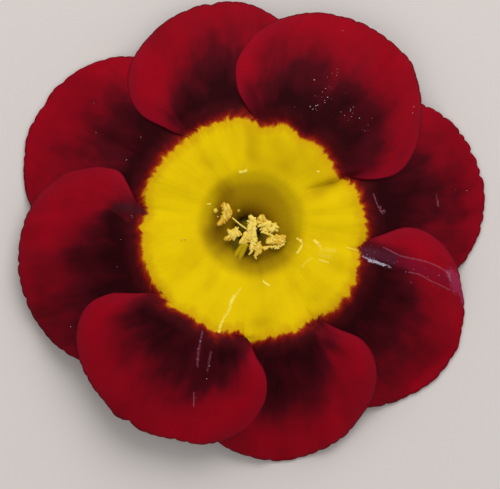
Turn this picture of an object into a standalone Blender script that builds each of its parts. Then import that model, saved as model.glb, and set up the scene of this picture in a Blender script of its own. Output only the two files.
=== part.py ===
"""Auricula flower: one picked, eight-lobed pip that lies face up on a surface.

Built in metres with +Z up. The origin is on the surface, under the middle of the bloom's box.
Looked at from above, +X is right and +Y is the top of the flower.

The corolla is one grown piece, built as two bodies because it has two colours: the crimson
lobes, joined by a ring round their feet, and the yellow eye, which runs down into the tube.
"""
import math
from dataclasses import dataclass

import bmesh
import bpy
import numpy as np

# Driving dimensions, in millimetres and degrees
MM = 0.001
BLADE = 0.6              # thickness of the lobes, the eye, the tube and the calyx
GAP = 0.3                # clearance between neighbouring pieces
LIMB_HEIGHT = 5.6        # middle of the flat part of the corolla, above the surface
TUBE_AXIS = (0.05, 0.4)  # the tube stands a little above the bloom's middle
SEAM_WELD = 1e-7         # metres: the two ends of a sheet that goes all round
JOIN_WELD = 2e-6         # metres: slivers that a union leaves
SHARP_ANGLE = 40.0       # edges with a larger turn stay sharp

# The lobes
FLAT_RADIUS = 8.0        # the corolla is level up to here and arches down beyond
RIM_RADIUS = 17.5        # where a lobe has fallen by its full droop
ARCH_POWER = 1.4
SQUARENESS = 2.05        # 2 is an ellipse, more is squarer
LAYER_STEP = 0.45        # a margin on top rises by this, and one below sinks by it
LAYER_START = 0.4        # distance outside the eye where the layers begin to part
LAYER_RUN = 1.5          # distance over which they part
LAYER_TURN = 0.45        # share of half a lobe in which it changes from one layer to the other
FOOT_SINK = 0.35         # how deep a lobe's foot is sunk in the ring
SHOULDER = 78.0          # turn from a lobe's direction at which its tip ends and its sides begin
RING_WIDTH = 1.0
RING_THICKNESS = 0.7
EYE_DIP = 0.45           # the eye draws in by this where two lobes join
REST_BAND = 0.02         # whatever is this near the surface lies flat on it
RUFFLE_DEPTH = 0.25      # waves of the tip's margin, up and down
RUFFLE_WAVES = 3.5       # over one lobe's margin
SCALLOP_DEPTH = 0.08     # fine waves of the outline
SCALLOP_SPREAD = 0.12    # seeded unevenness of the outline
LOBE_COLUMNS = 18
LOBE_ROWS = 8
RING_COLUMNS = 80
MARGIN_STEPS = 400       # places tried along a side margin to find where it meets the ring
SEED = 8

# The eye, the throat and the tube
THROAT_RADIUS = 1.75     # the funnel narrows to this
FUNNEL_WIDTH = 2.0       # how far outside it the funnel turns level
FUNNEL_LENGTH = 0.9      # how slowly it narrows
FUNNEL_TURN = 3.0        # how tightly it turns level
TUBE_END = 0.045         # distance from the throat radius at the tube's lower end
EYE_COLUMNS = 56
EYE_ROWS = 13

# The stamens
ANTHER_HEIGHT = 5.55      # above the surface
ANTHER_THICKNESS = 0.8
FILAMENT_RADIUS = 0.2
FILAMENT_FOOT = (1.15, 3.7)   # distance from the tube's axis, and height
FILAMENT_SIDES = 7

# The pistil
OVARY_RADIUS = 0.85
OVARY_HALF_HEIGHT = 0.75
STYLE_RADIUS = 0.2
STYLE_SIDES = 8
STIGMA_RADIUS = 0.36
STIGMA_FLATNESS = 0.65   # height of the knob over its width
STIGMA_HEIGHT = 3.95     # above the surface

# The calyx and the cut stalk
CALYX_BASE = 1.55        # middle of the cup's floor, above the surface
CALYX_FLOOR_RADIUS = 2.25
CALYX_RIM_RADIUS = 3.5
CALYX_WALL = 2.0         # height of the wall up to the bays between its teeth
CALYX_TOOTH = 0.8
CALYX_TEETH = 8
CALYX_FLARE = 0.8        # below 1, the wall bulges out low down
CALYX_FLOOR_ROWS = 2
CALYX_COLUMNS = 48
CALYX_ROWS = 6
STALK_RADIUS = 0.65
STALK_FLARE = 1.15       # its top is wider by this factor
STALK_CUT = 0.25         # height of the cut end
STALK_SIDES = 20


@dataclass(frozen=True)
class Lobe:
    """One corolla lobe, seen from above. The half-widths and layers are named by their side:
    'left' is the counter-clockwise one."""
    name: str
    direction: float     # counter-clockwise from +X
    widest: float        # distance of its widest place from the middle of the flower
    reach: float         # distance of its tip
    left: float          # half-widths
    right: float
    heel: float          # the margin runs back by this from the widest place
    eye: float           # radius of the yellow eye at its foot
    droop: float         # fall of its tip below the eye
    left_over: int       # +1 where that margin lies on its neighbour, -1 where it lies below
    right_over: int


LOBES = (
    Lobe("right", 12.5, 11.4, 17.7, 7.3, 7.0, 5.0, 8.6, 6.4, -1, -1),
    Lobe("upper_right", 57.0, 10.4, 17.6, 8.0, 7.1, 3.8, 7.7, 4.0, +1, +1),
    Lobe("top", 98.5, 11.5, 17.1, 7.5, 5.8, 4.4, 8.7, 4.8, +1, -1),
    Lobe("upper_left", 151.5, 11.6, 18.1, 7.2, 7.4, 5.0, 8.9, 6.4, -1, -1),
    Lobe("left", 193.5, 10.7, 17.8, 7.8, 7.5, 3.5, 8.4, 3.9, -1, +1),
    Lobe("lower_left", 242.5, 11.2, 17.1, 6.8, 8.2, 3.9, 7.9, 3.2, +1, +1),
    Lobe("bottom", 281.0, 11.6, 17.5, 7.2, 6.8, 4.3, 8.3, 6.1, +1, -1),
    Lobe("lower_right", 325.5, 11.3, 17.9, 7.4, 7.1, 4.5, 8.7, 6.2, +1, -1),
)


@dataclass(frozen=True)
class Anther:
    """One anther, seen from above: its place from the middle of the flower, its length and
    width, its turn from +X, and the side of the tube that its filament grows from."""
    x: float
    y: float
    length: float
    width: float
    turn: float
    foot: float


ANTHERS = (
    Anther(-1.87, 1.12, 1.65, 0.85, 78, 150),
    Anther(-1.2, -0.4, 1.25, 0.95, 35, 200),
    Anther(0.08, 0.49, 1.4, 0.8, 75, 100),
    Anther(0.75, 0.75, 1.1, 0.85, 10, 60),
    Anther(1.35, 0.2, 1.5, 0.9, -18, 355),
    Anther(1.7, -0.62, 1.4, 0.9, 8, 320),
    Anther(0.45, -1.2, 1.5, 0.85, 83, 280),
    Anther(-0.3, -0.65, 1.3, 0.95, 30, 235),
)
THREAD = ((-1.85, 0.95), (-0.1, 0.0))   # the thread from the outermost anther to the others
THREAD_RADIUS = 0.15


def smooth(x):
    """Ease from 0 to 1 as x goes from 0 to 1."""
    x = np.clip(x, 0.0, 1.0)
    return x * x * (3.0 - 2.0 * x)


def clear_scene():
    for item in list(bpy.data.objects):
        bpy.data.objects.remove(item, do_unlink=True)


def new_collection(name):
    group = bpy.data.collections.new(name)
    bpy.context.scene.collection.children.link(group)
    return group


def make_material(name, colour, roughness):
    material = bpy.data.materials.new(name)
    material.use_nodes = True
    shader = material.node_tree.nodes["Principled BSDF"]
    shader.inputs["Base Color"].default_value = (*colour, 1.0)
    shader.inputs["Roughness"].default_value = roughness
    shader.inputs["Metallic"].default_value = 0.0
    return material


def new_object(name, bm, group, material=None):
    mesh = bpy.data.meshes.new(name)
    bm.to_mesh(mesh)
    bm.free()
    item = bpy.data.objects.new(name, mesh)
    if material:
        mesh.materials.append(material)
    group.objects.link(item)
    return item


def formed_sheet(name, columns, rows, form, group, material=None):
    """An open sheet: a flat grid whose points are moved by form(s, t), with s from -1 to 1
    across it and t from 0 to 1 along it. Sides that meet are welded."""
    bm = bmesh.new()
    bmesh.ops.create_grid(bm, x_segments=columns, y_segments=rows, size=1.0)
    flat = np.array([vert.co for vert in bm.verts])
    points = np.stack(form(flat[:, 0], 0.5 + 0.5 * flat[:, 1]), axis=1) * MM
    for vert, point in zip(bm.verts, points):
        vert.co = point
    bmesh.ops.remove_doubles(bm, verts=bm.verts, dist=SEAM_WELD)
    bmesh.ops.triangulate(bm, faces=bm.faces)
    return new_object(name, bm, group, material)


def thicken(item, thickness):
    wall = item.modifiers.new("wall", "SOLIDIFY")
    wall.thickness = thickness * MM
    wall.offset = 0.0
    wall.use_even_offset = True


def shade_smooth(item):
    item.data.shade_smooth()
    item.data.set_sharp_from_angle(angle=math.radians(SHARP_ANGLE))


def apply_modifiers(item):
    """Replace the object's mesh with its evaluated one."""
    evaluated = item.evaluated_get(bpy.context.evaluated_depsgraph_get())
    mesh = bpy.data.meshes.new_from_object(evaluated)
    item.modifiers.clear()
    item.data = mesh


def join_all(base, repeats):
    """Join a collection of closed shapes to the base by one union, then remove them."""
    join = base.modifiers.new("join", "BOOLEAN")
    join.operation = "UNION"
    join.operand_type = "COLLECTION"
    join.collection = repeats
    join.solver = "EXACT"
    apply_modifiers(base)
    for item in list(repeats.objects):
        bpy.data.objects.remove(item, do_unlink=True)
    bpy.data.collections.remove(repeats)
    bm = bmesh.new()
    bm.from_mesh(base.data)
    bmesh.ops.remove_doubles(bm, verts=bm.verts, dist=JOIN_WELD)
    bmesh.ops.triangulate(bm, faces=bm.faces)
    bm.to_mesh(base.data)
    bm.free()


def lobe_position(angle):
    """Where an angle lies among the lobes: 2.25 is a quarter of the way from lobe 2's
    direction to lobe 3's."""
    directions = [lobe.direction for lobe in LOBES]
    turned = np.degrees(angle) % 360.0
    marks = [directions[-1] - 360.0, *directions, directions[0] + 360.0]
    return np.interp(turned, marks, np.arange(-1, len(LOBES) + 1))


def eye_radius(angle):
    """Edge of the eye: each lobe's own radius, eased into the next, less a dip at each join."""
    position = lobe_position(angle)
    index = np.floor(position).astype(int)
    share = position - index
    radii = np.array([lobe.eye for lobe in LOBES])
    here = radii[index % len(LOBES)]
    there = radii[(index + 1) % len(LOBES)]
    return here + (there - here) * smooth(share) - EYE_DIP * np.sin(np.pi * share) ** 2


def arch_height(radius, droop):
    """Middle of the sheet above the surface: level at first, then falling by a power of the
    distance beyond the flat part."""
    beyond = np.clip((radius - FLAT_RADIUS) / (RIM_RADIUS - FLAT_RADIUS), 0.0, None)
    return LIMB_HEIGHT - droop * beyond ** ARCH_POWER


def lobe_height(lobe, x, y):
    """Height of a lobe: the arch, plus the layer that its nearer margin lies in. It lies flat
    where it would reach below the surface."""
    radius = np.hypot(x, y)
    angle = np.arctan2(y, x)
    aside = np.degrees(angle) - lobe.direction
    aside = (aside + 180.0) % 360.0 - 180.0
    half = 180.0 / len(LOBES)
    to_left = smooth((aside / half + LAYER_TURN) / (2.0 * LAYER_TURN))
    layer = lobe.right_over + (lobe.left_over - lobe.right_over) * to_left
    parted = smooth((radius - eye_radius(angle) - GAP - LAYER_START) / LAYER_RUN)
    height = arch_height(radius, lobe.droop) + LAYER_STEP * layer * parted
    return np.maximum(height, 0.5 * BLADE)


def lobe_margin(lobe, turn):
    """Outline of a lobe from above: a slightly squared oval round its widest place, as a
    function of the turn from its own direction, with its own half-width on each side."""
    power = 2.0 / SQUARENESS
    along = np.cos(turn)
    across = np.sin(turn)
    ahead = np.where(along > 0, lobe.reach - lobe.widest, lobe.heel)
    side = np.where(across > 0, lobe.left, lobe.right)
    forward = lobe.widest + ahead * np.sign(along) * np.abs(along) ** power
    sideways = side * np.sign(across) * np.abs(across) ** power
    lean = math.radians(lobe.direction)
    x = forward * math.cos(lean) - sideways * math.sin(lean)
    y = forward * math.sin(lean) + sideways * math.cos(lean)
    return x, y


def foot_radius(angle):
    """Where the lobes' feet end, sunk in the ring."""
    return eye_radius(angle) + GAP + FOOT_SINK


def margin_end(lobe, side):
    """Turn at which the side margin comes back to the lobe's foot, on the left (1) or right (-1)."""
    turns = side * np.linspace(0.5 * math.pi, math.pi, MARGIN_STEPS)
    x, y = lobe_margin(lobe, turns)
    outside = np.hypot(x, y) > foot_radius(np.arctan2(y, x))
    return turns[np.argmin(outside)]


def lobe_outline(lobe, s, t):
    """Place in a lobe from above. The four sides of a patch are blended: the foot, an arc in
    the ring (t = 0), the tip's margin (t = 1), and the side margins from the foot to the
    shoulders (s = -1 and s = 1)."""
    shoulder = math.radians(SHOULDER)
    share = 0.5 * (s + 1.0)
    ends = [margin_end(lobe, side) for side in (-1, 1)]
    right = np.array(lobe_margin(lobe, ends[0] + (-shoulder - ends[0]) * t))
    left = np.array(lobe_margin(lobe, ends[1] + (shoulder - ends[1]) * t))
    tip = np.array(lobe_margin(lobe, shoulder * s))
    first, last = (np.array(lobe_margin(lobe, np.array(end))) for end in ends)
    start = math.atan2(first[1], first[0])
    sweep = (math.atan2(last[1], last[0]) - start) % (2.0 * math.pi)
    angle = start + sweep * share
    foot = foot_radius(angle) * np.array([np.cos(angle), np.sin(angle)])
    corners = np.array([lobe_margin(lobe, np.array(side * shoulder)) for side in (-1, 1)])
    low = np.outer(first, 1.0 - share) + np.outer(last, share)
    high = np.outer(corners[0], 1.0 - share) + np.outer(corners[1], share)
    return ((1.0 - t) * foot + t * tip + (1.0 - share) * right + share * left
            - (1.0 - t) * low - t * high)


def make_lobe(lobe, group, rng):
    """A blade whose height follows lobe_height, with waves and scallops that grow towards the
    tip's margin and die away at its shoulders, where it lies in layers with its neighbours."""
    ruffle_phase = rng.uniform(0.0, 2.0 * math.pi)
    uneven = rng.uniform(-SCALLOP_SPREAD, SCALLOP_SPREAD, LOBE_COLUMNS + 1)

    def form(s, t):
        column = np.rint(0.5 * (s + 1.0) * LOBE_COLUMNS).astype(int)
        tip = np.cos(0.5 * math.pi * s) * t ** 3
        scallop = SCALLOP_DEPTH * np.cos(math.pi * column) + uneven[column]
        x, y = lobe_outline(lobe, s, t) * (1.0 + tip * scallop / lobe.reach)
        wave = RUFFLE_DEPTH * tip * np.sin(math.pi * RUFFLE_WAVES * s + ruffle_phase)
        z = np.maximum(lobe_height(lobe, x, y) + wave, 0.5 * BLADE)
        return x, y, z

    blade = formed_sheet("lobe_" + lobe.name, LOBE_COLUMNS, LOBE_ROWS, form, group)
    thicken(blade, BLADE)
    return blade


def press_flat(item):
    """Level the spots that the bloom rests on, which thickening leaves uneven by microns."""
    for vert in item.data.vertices:
        if vert.co.z < REST_BAND * MM:
            vert.co.z = 0.0


def make_lobes(group, material):
    """The eight lobes in their layers, joined by the ring that they grow out from."""
    rng = np.random.default_rng(SEED)
    repeats = new_collection("lobe_blades")
    for lobe in LOBES:
        make_lobe(lobe, repeats, rng)

    def form(s, t):
        angle = math.pi * (s + 1.0)
        radius = eye_radius(angle) + GAP + RING_WIDTH * t
        z = np.full_like(radius, LIMB_HEIGHT)
        return radius * np.cos(angle), radius * np.sin(angle), z

    ring = formed_sheet("corolla_lobes", RING_COLUMNS, 1, form, group, material)
    thicken(ring, RING_THICKNESS)
    join_all(ring, repeats)
    press_flat(ring)
    shade_smooth(ring)
    return ring


def funnel_depth(outside):
    """Depth of the funnel below the limb at a distance outside the throat radius: almost
    nothing far out, and growing with the logarithm of the distance close in."""
    steepness = (FUNNEL_WIDTH / outside) ** FUNNEL_TURN
    return FUNNEL_LENGTH / FUNNEL_TURN * np.log1p(steepness)


def make_eye(group, material):
    """The yellow eye and the tube: one sheet turned round the tube's axis, which spreads from
    the tube's lower end through the throat to the uneven edge of the eye."""
    def form(s, t):
        angle = math.pi * (s + 1.0)
        edge = eye_radius(angle) - THROAT_RADIUS
        outside = TUBE_END * (edge / TUBE_END) ** t
        radius = THROAT_RADIUS + outside
        inward = 1.0 - (outside / edge)
        x = radius * np.cos(angle) + TUBE_AXIS[0] * inward
        y = radius * np.sin(angle) + TUBE_AXIS[1] * inward
        return x, y, LIMB_HEIGHT - funnel_depth(outside)

    eye = formed_sheet("corolla_eye", EYE_COLUMNS, EYE_ROWS, form, group, material)
    thicken(eye, BLADE)
    shade_smooth(eye)
    return eye


def make_ball(name, centre, size, turn, group, material=None):
    """A closed oval, its size along its own three axes, turned about the vertical."""
    bm = bmesh.new()
    bmesh.ops.create_icosphere(bm, subdivisions=2, radius=0.5)
    lean = math.radians(turn)
    for vert in bm.verts:
        x, y, z = (vert.co[axis] * size[axis] for axis in range(3))
        vert.co.x = (centre[0] + x * math.cos(lean) - y * math.sin(lean)) * MM
        vert.co.y = (centre[1] + x * math.sin(lean) + y * math.cos(lean)) * MM
        vert.co.z = (centre[2] + z) * MM
    return new_object(name, bm, group, material)


def make_rod(name, start, end, radii, sides, group, material=None):
    """A closed, tapered rod between two points, with a radius at each end. A rod that stands
    straight up takes +X as its side."""
    start = np.array(start) * MM
    end = np.array(end) * MM
    length = float(np.linalg.norm(end - start))
    bm = bmesh.new()
    bmesh.ops.create_cone(bm, cap_ends=True, segments=sides, radius1=radii[0] * MM,
                          radius2=radii[1] * MM, depth=length)
    forward = (end - start) / length
    aside = np.array((1.0, 0.0, 0.0))
    if abs(forward[2]) < 1.0 - 1e-9:
        aside = np.cross((0.0, 0.0, 1.0), forward)
        aside = aside / np.linalg.norm(aside)
    across = np.cross(forward, aside)
    for vert in bm.verts:
        x, y, z = vert.co
        vert.co = 0.5 * (start + end) + aside * x + across * y + forward * z
    return new_object(name, bm, group, material)


def make_stamens(group, material):
    """Eight anthers that touch in a cluster at the tube's mouth, each on a filament that
    rises from the tube's wall."""
    repeats = new_collection("stamen_pieces")
    base = None
    for anther in ANTHERS:
        centre = (anther.x, anther.y, ANTHER_HEIGHT)
        size = (anther.length, anther.width, ANTHER_THICKNESS)
        if base is None:
            base = make_ball("stamens", centre, size, anther.turn, group, material)
        else:
            make_ball("anther", centre, size, anther.turn, repeats)
        side = math.radians(anther.foot)
        foot = (TUBE_AXIS[0] + FILAMENT_FOOT[0] * math.cos(side),
                TUBE_AXIS[1] + FILAMENT_FOOT[0] * math.sin(side), FILAMENT_FOOT[1])
        radii = (FILAMENT_RADIUS, FILAMENT_RADIUS)
        make_rod("filament", foot, centre, radii, FILAMENT_SIDES, repeats)
    thread = [(*end, ANTHER_HEIGHT) for end in THREAD]
    make_rod("thread", *thread, (THREAD_RADIUS, THREAD_RADIUS), FILAMENT_SIDES, repeats)
    join_all(base, repeats)
    shade_smooth(base)
    return base


def make_pistil(group, material):
    """The ovary on the receptacle, with its style and knob of a stigma in the tube."""
    x, y = TUBE_AXIS
    floor = CALYX_BASE + 0.5 * BLADE + GAP
    middle = floor + OVARY_HALF_HEIGHT
    repeats = new_collection("pistil_pieces")
    size = (2.0 * OVARY_RADIUS, 2.0 * OVARY_RADIUS, 2.0 * OVARY_HALF_HEIGHT)
    ovary = make_ball("pistil", (x, y, middle), size, 0.0, group, material)
    top = (x, y, STIGMA_HEIGHT)
    make_rod("style", (x, y, middle), top, (STYLE_RADIUS, STYLE_RADIUS), STYLE_SIDES, repeats)
    knob = (2.0 * STIGMA_RADIUS, 2.0 * STIGMA_RADIUS, 2.0 * STIGMA_RADIUS * STIGMA_FLATNESS)
    make_ball("stigma", top, knob, 0.0, repeats)
    join_all(ovary, repeats)
    shade_smooth(ovary)
    return ovary


def make_calyx(group, material):
    """A cup round the foot of the tube: a floor, a flaring wall and short teeth."""
    def form(s, t):
        angle = math.pi * (s + 1.0)
        tooth = np.abs(np.sin(0.5 * CALYX_TEETH * angle))
        floor_share = CALYX_FLOOR_ROWS / CALYX_ROWS
        up = np.clip((t - floor_share) / (1.0 - floor_share), 0.0, 1.0)
        out = np.clip(t / floor_share, 0.0, 1.0)
        flare = np.sin(0.5 * math.pi * up) ** CALYX_FLARE
        radius = CALYX_FLOOR_RADIUS * out + (CALYX_RIM_RADIUS - CALYX_FLOOR_RADIUS) * flare
        height = up * (CALYX_WALL + CALYX_TOOTH * tooth * up ** 2)
        x = TUBE_AXIS[0] + radius * np.cos(angle)
        y = TUBE_AXIS[1] + radius * np.sin(angle)
        return x, y, CALYX_BASE + height

    calyx = formed_sheet("calyx", CALYX_COLUMNS, CALYX_ROWS, form, group, material)
    thicken(calyx, BLADE)
    shade_smooth(calyx)
    return calyx


def make_stalk(group, material):
    """The cut stub of the flower's own stalk, under the calyx."""
    x, y = TUBE_AXIS
    top = CALYX_BASE - 0.5 * BLADE - GAP
    radii = (STALK_RADIUS, STALK_RADIUS * STALK_FLARE)
    stalk = make_rod("pedicel", (x, y, STALK_CUT), (x, y, top), radii, STALK_SIDES, group, material)
    shade_smooth(stalk)
    return stalk


def centre_on_origin(pieces):
    """Slide the pieces sideways so that the bloom's box stands on the origin."""
    graph = bpy.context.evaluated_depsgraph_get()
    places = []
    for piece in pieces:
        mesh = piece.evaluated_get(graph).to_mesh()
        places.extend([vert.co.x, vert.co.y] for vert in mesh.vertices)
    places = np.array(places)
    middle = 0.5 * (places.min(axis=0) + places.max(axis=0))
    for piece in pieces:
        for vert in piece.data.vertices:
            vert.co.x -= middle[0]
            vert.co.y -= middle[1]


def main():
    clear_scene()
    flower = new_collection("auricula_flower")
    crimson = make_material("crimson_lobe", (0.25, 0.005, 0.014), 0.55)
    yellow = make_material("yellow_eye", (0.72, 0.50, 0.01), 0.45)
    gold = make_material("gold_anther", (0.72, 0.44, 0.10), 0.7)
    pale_green = make_material("pale_green_pistil", (0.45, 0.52, 0.18), 0.5)
    green = make_material("green_calyx", (0.13, 0.24, 0.06), 0.6)
    stem_green = make_material("stem_green", (0.18, 0.28, 0.08), 0.55)
    centre_on_origin([
        make_lobes(flower, crimson),
        make_eye(flower, yellow),
        make_stamens(flower, gold),
        make_pistil(flower, pale_green),
        make_calyx(flower, green),
        make_stalk(flower, stem_green),
    ])


main()
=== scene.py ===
"""Auricula flower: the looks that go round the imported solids.

The corolla is one grown sheet here: the tube, the yellow eye and eight crimson lobes that
overlap in layers. It stands for two of the solids. Stamens, pistil, calyx and the cut stalk
are finer pieces too, and pollen and meal lie on them.

Lengths are millimetres unless a name says metres. Places are given from the middle of the
bloom, +X to the right and +Y to the top of the photograph, and a mesh is moved to the middle
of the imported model's bloom when it is made. Where a function takes x and y, they are such
places.
"""
from __future__ import annotations

import logging
import math
from dataclasses import dataclass, field
from enum import Enum
from functools import partial
from itertools import combinations

import bpy
import numpy as np
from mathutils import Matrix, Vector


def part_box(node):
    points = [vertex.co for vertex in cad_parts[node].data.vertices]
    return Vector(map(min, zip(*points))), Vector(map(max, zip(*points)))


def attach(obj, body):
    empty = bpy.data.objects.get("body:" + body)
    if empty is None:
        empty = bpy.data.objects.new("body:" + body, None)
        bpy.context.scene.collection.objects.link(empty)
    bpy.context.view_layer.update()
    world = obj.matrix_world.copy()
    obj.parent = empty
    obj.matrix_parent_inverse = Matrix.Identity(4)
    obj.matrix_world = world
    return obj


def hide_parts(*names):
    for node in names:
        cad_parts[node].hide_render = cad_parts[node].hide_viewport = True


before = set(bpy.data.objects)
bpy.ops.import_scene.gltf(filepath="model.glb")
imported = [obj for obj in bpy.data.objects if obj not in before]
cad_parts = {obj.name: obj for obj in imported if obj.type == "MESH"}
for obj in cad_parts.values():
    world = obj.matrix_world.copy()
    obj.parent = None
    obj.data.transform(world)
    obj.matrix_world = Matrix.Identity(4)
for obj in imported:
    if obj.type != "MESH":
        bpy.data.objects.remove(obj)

log = logging.getLogger("auricula")

MM = 0.001
BODY = "root"
TUBE_X, TUBE_Y = 0.05, 0.4  # the tube's axis, from the middle of the bloom
FULL_TURN = 2.0 * math.pi
Array = np.ndarray
Socket = bpy.types.NodeSocket
Material = bpy.types.Material
Object = bpy.types.Object
Colour = tuple[float, float, float]
Point = tuple[float, float]
Place = tuple[float, float, float]


@dataclass(frozen=True)
class Photograph:
    """The photograph's frame: its size and scale, and the pixel of the bloom's middle."""

    width: int = 500
    height: int = 489
    mm_per_pixel: float = 0.075
    middle: Point = (251.0, 229.0)

    def place(self, pixel: Point) -> Array:
        """x and y of a pixel, its column and row, from the middle of the bloom."""
        return np.subtract(pixel, self.middle) * (self.mm_per_pixel, -self.mm_per_pixel)


PHOTO = Photograph()


# Numbers and meshes

def smooth(x: Array | float) -> Array:
    """Ease from 0 to 1 while x goes from 0 to 1: 3x^2 - 2x^3, level outside."""
    x = np.clip(x, 0.0, 1.0)
    return x * x * (3.0 - 2.0 * x)


def bell(x: Array) -> Array:
    """A bell of height 1 round x = 0: e to the power of -x^2."""
    return np.exp(-np.square(x))


def polar(radius: Array | float, angle: Array | float) -> Array:
    """x and y at a distance from the middle in a direction: radius x (cos, sin)."""
    return radius * np.array((np.cos(angle), np.sin(angle)))


def away_from(pixel: Point, x: Array, y: Array) -> Array:
    """Distance of places from a pixel's place."""
    u, v = PHOTO.place(pixel)
    return np.hypot(x - u, y - v)


def from_points(x: Array, y: Array, points: Array) -> Array:
    """Distance of places from the nearest of some points."""
    return np.hypot(x[..., None] - points[:, 0], y[..., None] - points[:, 1]).min(axis=-1)


def beside(start: Array, end: Array, x: Array, y: Array) -> tuple[Array, Array, float]:
    """Where places lie against a straight line: by the dot and the cross product with it.

    Args:
        start: where the line starts.
        end: where it ends.
        x: places across.
        y: places up.

    Returns:
        The distance along it, the distance to its left, and its length.
    """
    length = float(np.linalg.norm(end - start))
    forward = (end - start) / length
    u, v = x - start[0], y - start[1]
    return u * forward[0] + v * forward[1], v * forward[0] - u * forward[1], length


def vertices(x: Array, y: Array, z: Array) -> Array:
    """The vertices of a grid, row after row, from its three coordinates."""
    return np.stack((x, y, z), axis=-1).reshape(-1, 3)


# The bloom's middle in the frame: the box of the stalk stands round the tube's axis.
STALK_MIDDLE = 0.5 * np.sum(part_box("pedicel"), axis=0) / MM
MIDDLE = (STALK_MIDDLE - (TUBE_X, TUBE_Y, 0.0)) * (1.0, 1.0, 0.0)


def grid_faces(rows: int, columns: int, closed: bool = False) -> Array:
    """Quads of a grid whose vertices run along each row in turn.

    Args:
        rows: number of vertex rows.
        columns: number of vertices in a row.
        closed: whether the last vertex of a row is joined to its first.

    Returns:
        Four vertex numbers a face, counter-clockwise where rows run outwards.
    """
    row = np.arange(rows - 1)[:, None] * columns
    column = np.arange(columns if closed else columns - 1)[None, :]
    after = (column + 1) % columns
    quads = np.stack((row + column, row + columns + column, row + columns + after, row + after))
    return quads.reshape(4, -1).T


def fan_faces(ring: Array, pole: int, inwards: bool) -> Array:
    """Triangles from a ring of vertex numbers to one pole, turned over where inwards is set."""
    order = (np.roll(ring, -1), ring) if inwards else (ring, np.roll(ring, -1))
    return np.stack((*order, np.full_like(ring, pole)), axis=1)


def capped_faces(rows: int, columns: int, turned_over: bool) -> list[Array]:
    """Faces of a closed grid whose two ends are each drawn to a pole.

    Args:
        rows: number of vertex rows.
        columns: number of vertices round it.
        turned_over: whether the faces look the other way.

    Returns:
        The face arrays. The poles are the two vertices after the grid's.
    """
    ring = np.arange(columns)
    body = grid_faces(rows, columns, closed=True)
    return [body[:, ::-1] if turned_over else body,
            fan_faces(ring, rows * columns, inwards=turned_over),
            fan_faces(ring + (rows - 1) * columns, rows * columns + 1, inwards=not turned_over)]


def linked(name: str, data: bpy.types.ID) -> Object:
    """Link a new object into the scene.

    Args:
        name: its name.
        data: its mesh, lamp or camera.

    Returns:
        The object.
    """
    item = bpy.data.objects.new(name, data)
    bpy.context.scene.collection.objects.link(item)
    return item


def add_piece(name: str, points: Array, faces: list[Array], materials: list[Material],
              marks: dict[str, Array] | None = None) -> Object:
    """Put a mesh worked out with numpy into the scene, its object at the origin.

    Args:
        name: the piece's name.
        points: places from the bloom's middle in millimetres, one row a vertex.
        faces: arrays of vertex numbers, all faces of one array with the same corners.
        materials: the piece's materials, in slot order.
        marks: values a vertex, one number or three, kept as attributes for the materials.

    Returns:
        The new object, smooth shaded.
    """
    mesh = bpy.data.meshes.new(name)
    corners = [face for group in faces for face in group.tolist()]
    mesh.from_pydata(((points + MIDDLE) * MM).tolist(), [], corners)
    for label, values in (marks or {}).items():
        kind, key = ("FLOAT", "value") if values.ndim == 1 else ("FLOAT_VECTOR", "vector")
        attribute = mesh.attributes.new(label, kind, "POINT")
        attribute.data.foreach_set(key, np.ascontiguousarray(values, dtype=np.float32).ravel())
    mesh.shade_smooth()
    for material in materials:
        mesh.materials.append(material)
    return linked(name, mesh)


def give_wall(piece: Object, thickness: float) -> bpy.types.SolidifyModifier:
    """Give a sheet its thickness, half of it to each side.

    Args:
        piece: the sheet.
        thickness: how thick it gets.

    Returns:
        The modifier.
    """
    wall = piece.modifiers.new("wall", "SOLIDIFY")
    wall.thickness = thickness * MM
    wall.offset = 0.0
    wall.use_quality_normals = True
    return wall


def settle(piece: Object, slot: str, *nodes: str) -> None:
    """Let a piece ride on the flower, and hide the solids it stands for.

    Args:
        piece: the piece.
        slot: the material slot that its finish belongs to; not used.
        nodes: the solids' nodes.
    """
    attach(piece, BODY)
    if nodes:
        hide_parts(*nodes)
    log.info("%s: %d vertices, stands for %s", piece.name, len(piece.data.vertices),
             ", ".join(nodes) or "nothing")


def path_tube(path: Array, radius: Array, sides: int) -> tuple[Array, list[Array]]:
    """Carry a circle along a path and close both ends with a point.

    The circle's first axis is the path's direction crossed with a fixed side that the path
    never follows, and its second the direction crossed with the first.

    Args:
        path: points along the middle, one row each.
        radius: the circle's radius at each point.
        sides: number of vertices round it.

    Returns:
        The vertices and the face arrays.
    """
    along = np.gradient(path, axis=0)
    along /= np.linalg.norm(along, axis=1, keepdims=True)
    aside = np.eye(3)[np.argmin(np.abs(along).max(axis=0))]
    first = np.cross(along, aside)
    first /= np.linalg.norm(first, axis=1, keepdims=True)
    second = np.cross(along, first)
    turn = np.linspace(0.0, FULL_TURN, sides, endpoint=False)
    ring = first[:, None] * np.cos(turn)[:, None] + second[:, None] * np.sin(turn)[:, None]
    body = (path[:, None] + ring * radius[:, None, None]).reshape(-1, 3)
    ends = path[[0, -1]] + along[[0, -1]] * radius[[0, -1], None] * ((-0.4,), (0.4,))
    return np.concatenate((body, ends)), capped_faces(len(path), sides, turned_over=False)


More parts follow.
